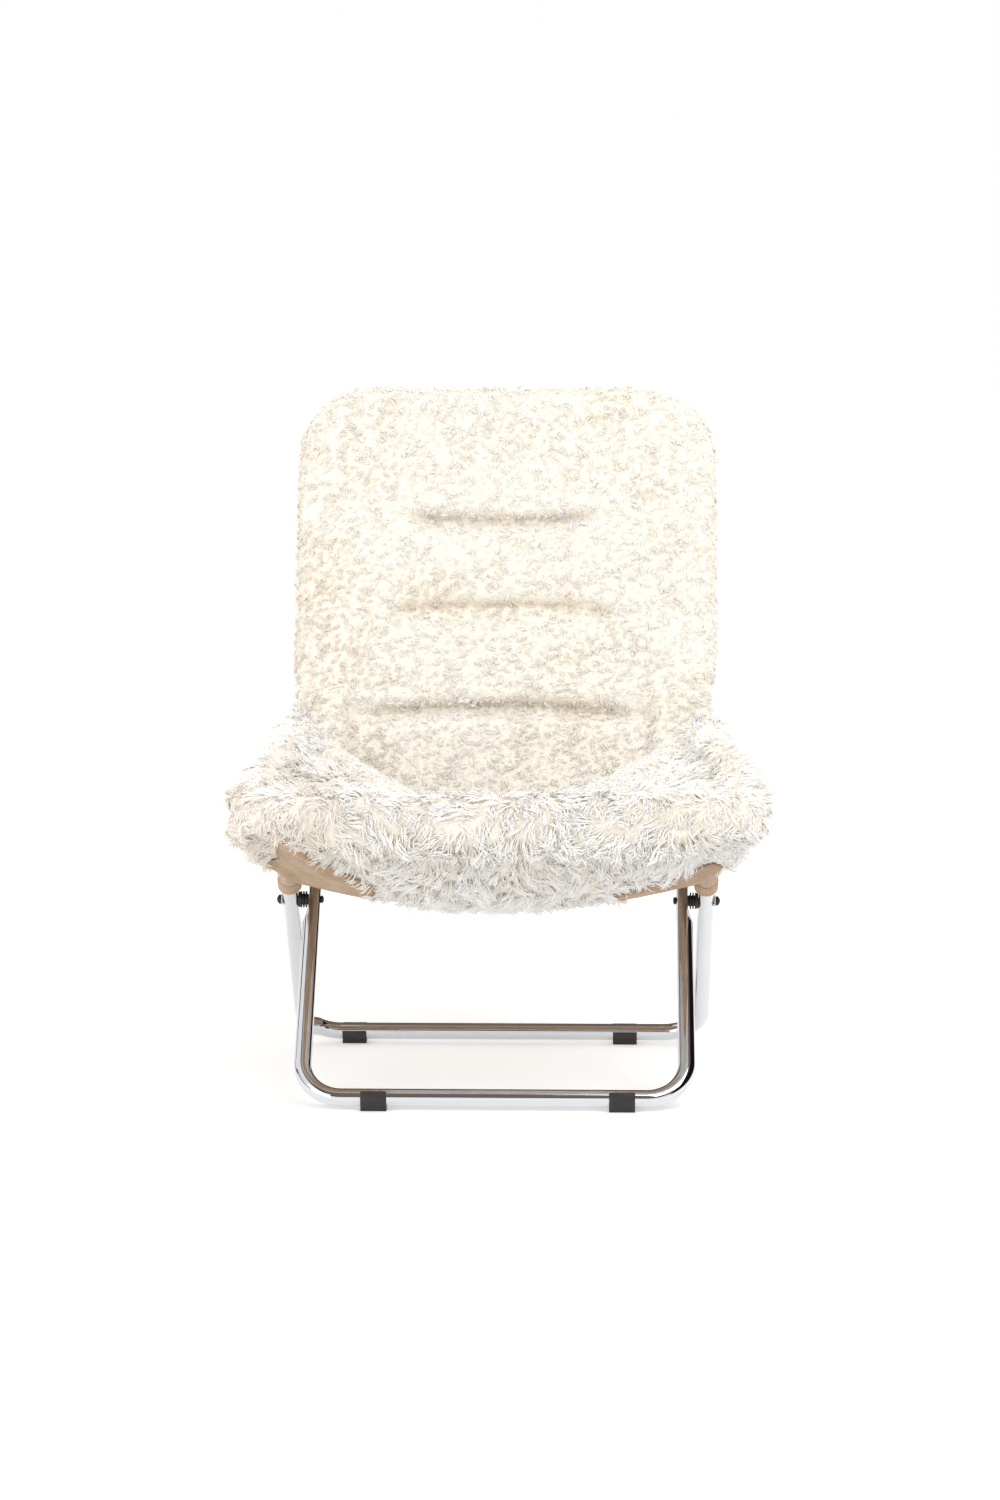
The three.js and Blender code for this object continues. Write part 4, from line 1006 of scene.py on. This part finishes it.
def strand_mesh(name, stations, fullness, line, heading, side, radius, warmth_and_shade, chance):
    """One closed mesh of many strands, each a copy of the strand's form laid along its own line."""
    places, faces, round_shares = strand_form(stations)
    station = np.abs(places[:, 2][:, None] - stations[None, :]).argmin(axis=1)
    ring = places[:, :2] * np.array(fullness)[station][:, None]
    over = np.cross(heading, side[:, None, :])
    verts = line[:, station] + radius[:, None, None] * (
        ring[None, :, 0, None] * side[:, None, :] + ring[None, :, 1, None] * over[:, station])
    count, corners = len(line), np.concatenate(faces)
    sizes = np.array([len(face) for face in faces])
    starts = np.concatenate([[0], np.cumsum(sizes)[:-1]])
    step = np.arange(count)[:, None]
    vertex_of_loop = step * len(places) + corners[None, :]
    first_loops = step * len(corners) + starts[None, :]
    mesh = bpy.data.meshes.new(name)
    mesh.vertices.add(count * len(places))
    mesh.vertices.foreach_set("co", verts.reshape(-1).astype(np.float32))
    mesh.loops.add(count * len(corners))
    mesh.loops.foreach_set("vertex_index", vertex_of_loop.reshape(-1).astype(np.int32))
    mesh.polygons.add(count * len(sizes))
    mesh.polygons.foreach_set("loop_start", first_loops.reshape(-1).astype(np.int32))
    mesh.polygons.foreach_set("use_smooth", np.zeros(count * len(sizes), bool))
    strands = mesh.uv_layers.new(name="Strands")
    u = round_shares[None, :] + STRAND_U_SPREAD * chance.random(count)[:, None]
    v = np.broadcast_to(places[corners, 2][None, :], u.shape)
    strands.data.foreach_set("uv", np.stack([u, v], axis=-1).reshape(-1).astype(np.float32))
    tone = mesh.attributes.new("warmth_and_shade", "FLOAT", "POINT")
    tone.data.foreach_set("value", np.repeat(warmth_and_shade, len(places)).astype(np.float32))
    mesh.update(calc_edges=True)
    mesh.validate()
    return mesh


def warmth_and_painted_shade(roots, kind):
    """How warm a cream each strand has: in patches some centimetres across, and with a painted beige shade
    that grows towards the left.
    """
    small, broad = (
        np.array([noise.noise(Vector(place) * scale) for place in roots]) for scale in PATCH_SCALES)
    by_itself, by_patch, side_shade_amount = LOCK_WARMTH_AND_SHADE if kind == "lock" else CURL_WARMTH_AND_SHADE
    # Painted shade: the strands grow warmer towards the chair's left
    painted_side_shade = side_shade_amount * smooth_share(*PAINTED_SHADE_LEFT_HALF, -roots[:, 0])
    if kind == "lock":
        painted_side_shade *= 1 - smooth_share(*PAINTED_SHADE_ROLL_TOP, roots[:, 2])
    return by_itself + by_patch * (small + BROAD_PATCH_SHARE * broad) + painted_side_shade


def fur(mesh, furry):
    """All strands, the curls from the floor up and the locks from left to right, a piece at a time."""
    chance = np.random.default_rng(SEED)
    combed = combed_share(*skin_of(mesh))
    curl = (CURLS, np.array(CURL_STATIONS), CURL_FULLNESS, CURL_RADIUS, CURLS_A_PIECE, curly_pile)
    lock = (LOCKS, np.array(LOCK_STATIONS), LOCK_FULLNESS, LOCK_RADIUS, LOCKS_A_PIECE, combed_pile)
    for kind, chosen, form, axis in (("curl", combed < 0.5, curl, 2), ("lock", combed >= 0.5, lock, 0)):
        count, stations, fullness, radius, most, finish = form
        roots, normals = scattered(mesh, furry, chosen, count, chance)
        order = np.argsort(roots[:, axis])
        roots, normals = roots[order], normals[order]
        line, heading, side = strand_lines(roots, normals, stations, chance)
        # The strands in and by the channels take a painted beige shade on top of their own warmth
        tone = warmth_and_painted_shade(roots, kind) + CHANNEL_PAINTED_SHADE * channel_share(roots, normals)
        tone = np.clip(tone + chance.normal(0, TONE_SPREAD, count), 0, 1)
        radii = radius * chance.uniform(*STRAND_THICKNESSES, count)
        for i, part in enumerate(np.array_split(np.arange(count), math.ceil(count / most))):
            name = f"{kind}s_{i + 1}"
            shape = (line[part], heading[part], side[part], radii[part])
            made = strand_mesh(name, stations, fullness, *shape, tone[part], chance)
            gathers(piece_of(name, made, finish), roots[part])


fur(core.data, furry)


# Suede sling: the outer skin of the cover

def islands_of(bm):
    """The separate stretches of faces in a mesh, the smallest first."""
    islands, seen = [], set()
    for start in bm.faces:
        if start in seen:
            continue
        island, waiting = [], [start]
        seen.add(start)
        while waiting:
            face = waiting.pop()
            island.append(face)
            around = [other for edge in face.edges for other in edge.link_faces if other not in seen]
            seen.update(around)
            waiting.extend(dict.fromkeys(around))
        islands.append(island)
    return sorted(islands, key=len)


def suede_sling(core, furry):
    """A sheet over every part of the padding that carries no fur, and its area."""
    bm = bmesh.new()
    bm.from_mesh(core.data)
    bm.verts.ensure_lookup_table()
    for index in np.flatnonzero(~furry):
        bm.verts[index].select = True
    unwanted = [face for face in bm.faces if sum(v.select for v in face.verts) < 2]
    bmesh.ops.delete(bm, geom=unwanted, context="FACES")
    scraps = [face for island in islands_of(bm)[:-1] for face in island]
    bmesh.ops.delete(bm, geom=scraps, context="FACES")
    rims = list({vert for edge in bm.edges if edge.is_boundary for vert in edge.verts})
    for _ in range(RIM_PASSES):
        bmesh.ops.smooth_vert(bm, verts=rims, factor=0.5, use_axis_x=True, use_axis_y=True, use_axis_z=True)
    for vert in bm.verts:
        vert.co += vert.normal * SUEDE_LIFT
    area = sum(face.calc_area() for face in bm.faces)
    sling = piece_of("suede_sling", mesh_from(bm, "suede_sling"), suede)
    add_wall(sling, SUEDE_WALL, 1)
    keep_modifiers(sling)
    return sling, area


sling, sling_area = suede_sling(core, furry)
gathers(core)
gathers(sling)
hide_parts("seat_pad", "back_pad", "seat_wing_left", "seat_wing_right")
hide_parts("seat_sling", "back_sling")


# Sleeves of suede on the outer loop, hemmed with two rows of stitches

def suede_tube(name, line, radius, thickness, ease_share):
    """A layer of suede round the tube, with softly eased ends."""
    bm = bent_tube(line, radius, sides=SLEEVE_SIDES)
    piece = piece_of(name, mesh_from(bm, name), sleeve_suede)
    add_wall(piece, thickness, 1)
    eased = piece.modifiers.new("eased", "BEVEL")
    eased.width = thickness * ease_share
    eased.segments = 3
    eased.limit_method = "ANGLE"
    keep_modifiers(piece)
    return piece


def on_sleeve(side, reach):
    return at_side(side, OUTER_HALF, PIVOT + up_front * reach)


def sleeve(side_name, side):
    line = [
        (on_sleeve(side, SLEEVE_START), 0),
        (at_side(side, OUTER_HALF, seat_knee), KNEE_BEND),
        (on_seat_side(side, SLEEVE_END), 0),
    ]
    piece = suede_tube(
        f"suede_sleeve_{side_name}", line, TUBE_RADIUS + JOINT_GAP, SLEEVE_WALL, SLEEVE_EASE_SHARE)
    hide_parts(f"seat_sleeve_{side_name}")
    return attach(piece, "seat_frame")


def sleeve_hem(side_name, side):
    """The turned-up end of a sleeve: a second layer that ends in a soft edge."""
    line = [(on_sleeve(side, reach), 0) for reach in (SLEEVE_START - HEM_WALL, SLEEVE_START + HEM_LENGTH)]
    piece = suede_tube(f"sleeve_hem_{side_name}", line, SLEEVE_RADIUS, HEM_WALL, HEM_EASE_SHARE)
    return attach(piece, "seat_frame")


def sleeve_stitches(side_name, side):
    """Two rows of stitches round a hem, each stitch sunk a little into the suede."""
    bm = bmesh.new()
    radius = SLEEVE_RADIUS + HEM_WALL
    count = round(2 * math.pi * radius / STITCH_PITCH)
    shape = Matrix.Diagonal((STITCH_LENGTH / 2, STITCH_WIDTH / 2, STITCH_WIDTH / 2, 1))
    for reach in (SLEEVE_START + STITCH_INSETS[0], SLEEVE_START + HEM_LENGTH - STITCH_INSETS[1]):
        centre = on_sleeve(side, reach)
        for i in range(count):
            out = Matrix.Rotation(2 * math.pi * i / count, 3, up_front) @ Vector((1, 0, 0))
            turned_to = Matrix((up_front.cross(out), up_front, out)).transposed().to_4x4()
            place = Matrix.Translation(centre + out * radius) @ turned_to @ shape
            bmesh.ops.create_uvsphere(bm, u_segments=8, v_segments=5, radius=1, matrix=place)
    name = f"sleeve_stitches_{side_name}"
    piece = piece_of(name, mesh_from(bm, name), thread)
    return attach(piece, "seat_frame")


for side_name, side in SIDES.items():
    sleeve(side_name, side)
    sleeve_hem(side_name, side)
    sleeve_stitches(side_name, side)


# Floor, light and camera

FLOOR_SIZE = 30
FLOOR_GLOW = 0.29
EVEN_LIGHT = 0.865
LAMP_AIM = (0, 0, 0.4)
LAMP_SIZE = 2.4
LAMPS = {"key_softbox": ((1.5, -2.4, 3.3), 58), "fill_softbox": ((-2.4, -3.2, 1.1), 36)}
CAMERA_PLACE = (0.1285, PIVOT.y - 4.930, 1.015)
CAMERA_PITCH = 0.1198
CAMERA_YAW = 0.0256
FOCAL_PIXELS = 3900.5
FRAME_HEIGHT = 1500
SENSOR_SIZE = 36
CLIP_END = 100

# What the chrome mirrors, each over those before it: a colour, and its spans of the direction's x, y and z
ROOM = (
    ("#7E6E69", None, None, (0.36, 2)),
    ("#1B1715", None, None, (0.28, 0.40)),
    ("#191513", (0.62, 2), None, (0.06, 2)),
    ("#3A332F", None, (0.84, 2), None),
    ("#1B1715", (-0.97, -0.30), (-2, 0.50), (0.08, 0.96)),
    ("#FFFFFF", (-0.93, -0.40), (-2, 0.42), (0.14, 0.93)),
)
ROOM_EDGE = 0.02


def studio_floor():
    """A seamless white paper sweep: white to the eye and to the chrome, with the chair's soft shadow."""
    made, tree = material("white_paper_sweep")
    paper = add(tree, "ShaderNodeBsdfDiffuse", {"Color": colour("#F4F4F4")})
    rays = add(tree, "ShaderNodeLightPath")
    seen = add(tree, "ShaderNodeMath", {
        0: rays.outputs["Is Camera Ray"], 1: rays.outputs["Is Glossy Ray"]}, operation="MAXIMUM")
    lift = add(tree, "ShaderNodeMath", {0: seen.outputs[0], 1: FLOOR_GLOW}, operation="MULTIPLY")
    glow = add(tree, "ShaderNodeEmission", {"Color": colour("#FFFFFF"), "Strength": lift.outputs[0]})
    both = add(tree, "ShaderNodeAddShader", {0: paper.outputs[0], 1: glow.outputs[0]})
    add(tree, "ShaderNodeOutputMaterial", {"Surface": both.outputs[0]})
    bm = bmesh.new()
    bmesh.ops.create_grid(bm, x_segments=1, y_segments=1, size=FLOOR_SIZE)
    mesh = mesh_from(bm, "studio_floor")
    mesh.materials.append(made)
    placed("studio_floor", mesh)


def band(tree, value, low, high):
    """1 between two values and 0 outside them, with soft edges."""
    rise = add(tree, "ShaderNodeMapRange", {
        "Value": value, "From Min": low - ROOM_EDGE, "From Max": low + ROOM_EDGE},
        interpolation_type="SMOOTHSTEP")
    fall = add(tree, "ShaderNodeMapRange", {
        "Value": value, "From Min": high + ROOM_EDGE, "From Max": high - ROOM_EDGE},
        interpolation_type="SMOOTHSTEP")
    both = {0: rise.outputs["Result"], 1: fall.outputs["Result"]}
    return add(tree, "ShaderNodeMath", both, operation="MULTIPLY").outputs[0]


def studio_world():
    """White to the camera, even light on the chair, and for the chrome a room: a white sweep all round, a
    dull warm ceiling behind a dark rail, a tall white screen at the left, and dark at right and behind."""
    world = bpy.data.worlds.new("studio")
    world.use_nodes = True
    tree = world.node_tree
    tree.nodes.clear()
    rays = add(tree, "ShaderNodeLightPath")
    way = add(tree, "ShaderNodeTexCoord")
    split = add(tree, "ShaderNodeSeparateXYZ", {"Vector": way.outputs["Generated"]})
    axes = [split.outputs[axis] for axis in "XYZ"]
    tone = colour("#FFFFFF")
    for code, *spans in ROOM:
        share = 1.0
        for value, span in zip(axes, spans):
            if span:
                both = {0: share, 1: band(tree, value, *span)}
                share = add(tree, "ShaderNodeMath", both, operation="MULTIPLY").outputs[0]
        tone = add(tree, "ShaderNodeMix", {0: share, 6: tone, 7: colour(code)}, data_type="RGBA").outputs[2]
    mirrored = add(tree, "ShaderNodeBackground", {"Color": tone, "Strength": 1.0})
    even = add(tree, "ShaderNodeBackground", {"Color": colour("#FFFEFC"), "Strength": EVEN_LIGHT})
    white = add(tree, "ShaderNodeBackground", {"Color": colour("#FFFFFF"), "Strength": 1.0})
    lit = add(tree, "ShaderNodeMixShader", {
        0: rays.outputs["Is Glossy Ray"], 1: even.outputs[0], 2: mirrored.outputs[0]})
    seen = add(tree, "ShaderNodeMath", {
        0: rays.outputs["Is Camera Ray"], 1: rays.outputs["Is Transmission Ray"]}, operation="MAXIMUM")
    shown = add(tree, "ShaderNodeMixShader", {0: seen.outputs[0], 1: lit.outputs[0], 2: white.outputs[0]})
    add(tree, "ShaderNodeOutputWorld", {"Surface": shown.outputs[0]})
    bpy.context.scene.world = world


def softbox(name, place, watts):
    """A square softbox, turned to the chair."""
    light = bpy.data.lights.new(name, "AREA")
    light.shape = "SQUARE"
    light.size = LAMP_SIZE
    light.energy = watts
    lamp = placed(name, light)
    lamp.location = place
    lamp.rotation_euler = (Vector(LAMP_AIM) - Vector(place)).to_track_quat("-Z", "Y").to_euler()


def product_camera():
    """The photograph's own view, fitted to the floor rails, the pivots and the seat's front edge."""
    camera = bpy.data.cameras.new("product_camera")
    camera.sensor_width = SENSOR_SIZE
    camera.lens = FOCAL_PIXELS / FRAME_HEIGHT * SENSOR_SIZE
    camera.clip_end = CLIP_END
    viewer = placed("product_camera", camera)
    viewer.location = CAMERA_PLACE
    viewer.rotation_euler = (math.pi / 2 - CAMERA_PITCH, 0, CAMERA_YAW)
    bpy.context.scene.camera = viewer


studio_floor()
studio_world()
for name, (place, watts) in LAMPS.items():
    softbox(name, place, watts)
product_camera()
bpy.context.scene.view_settings.view_transform = "Standard"

bpy.context.view_layer.update()
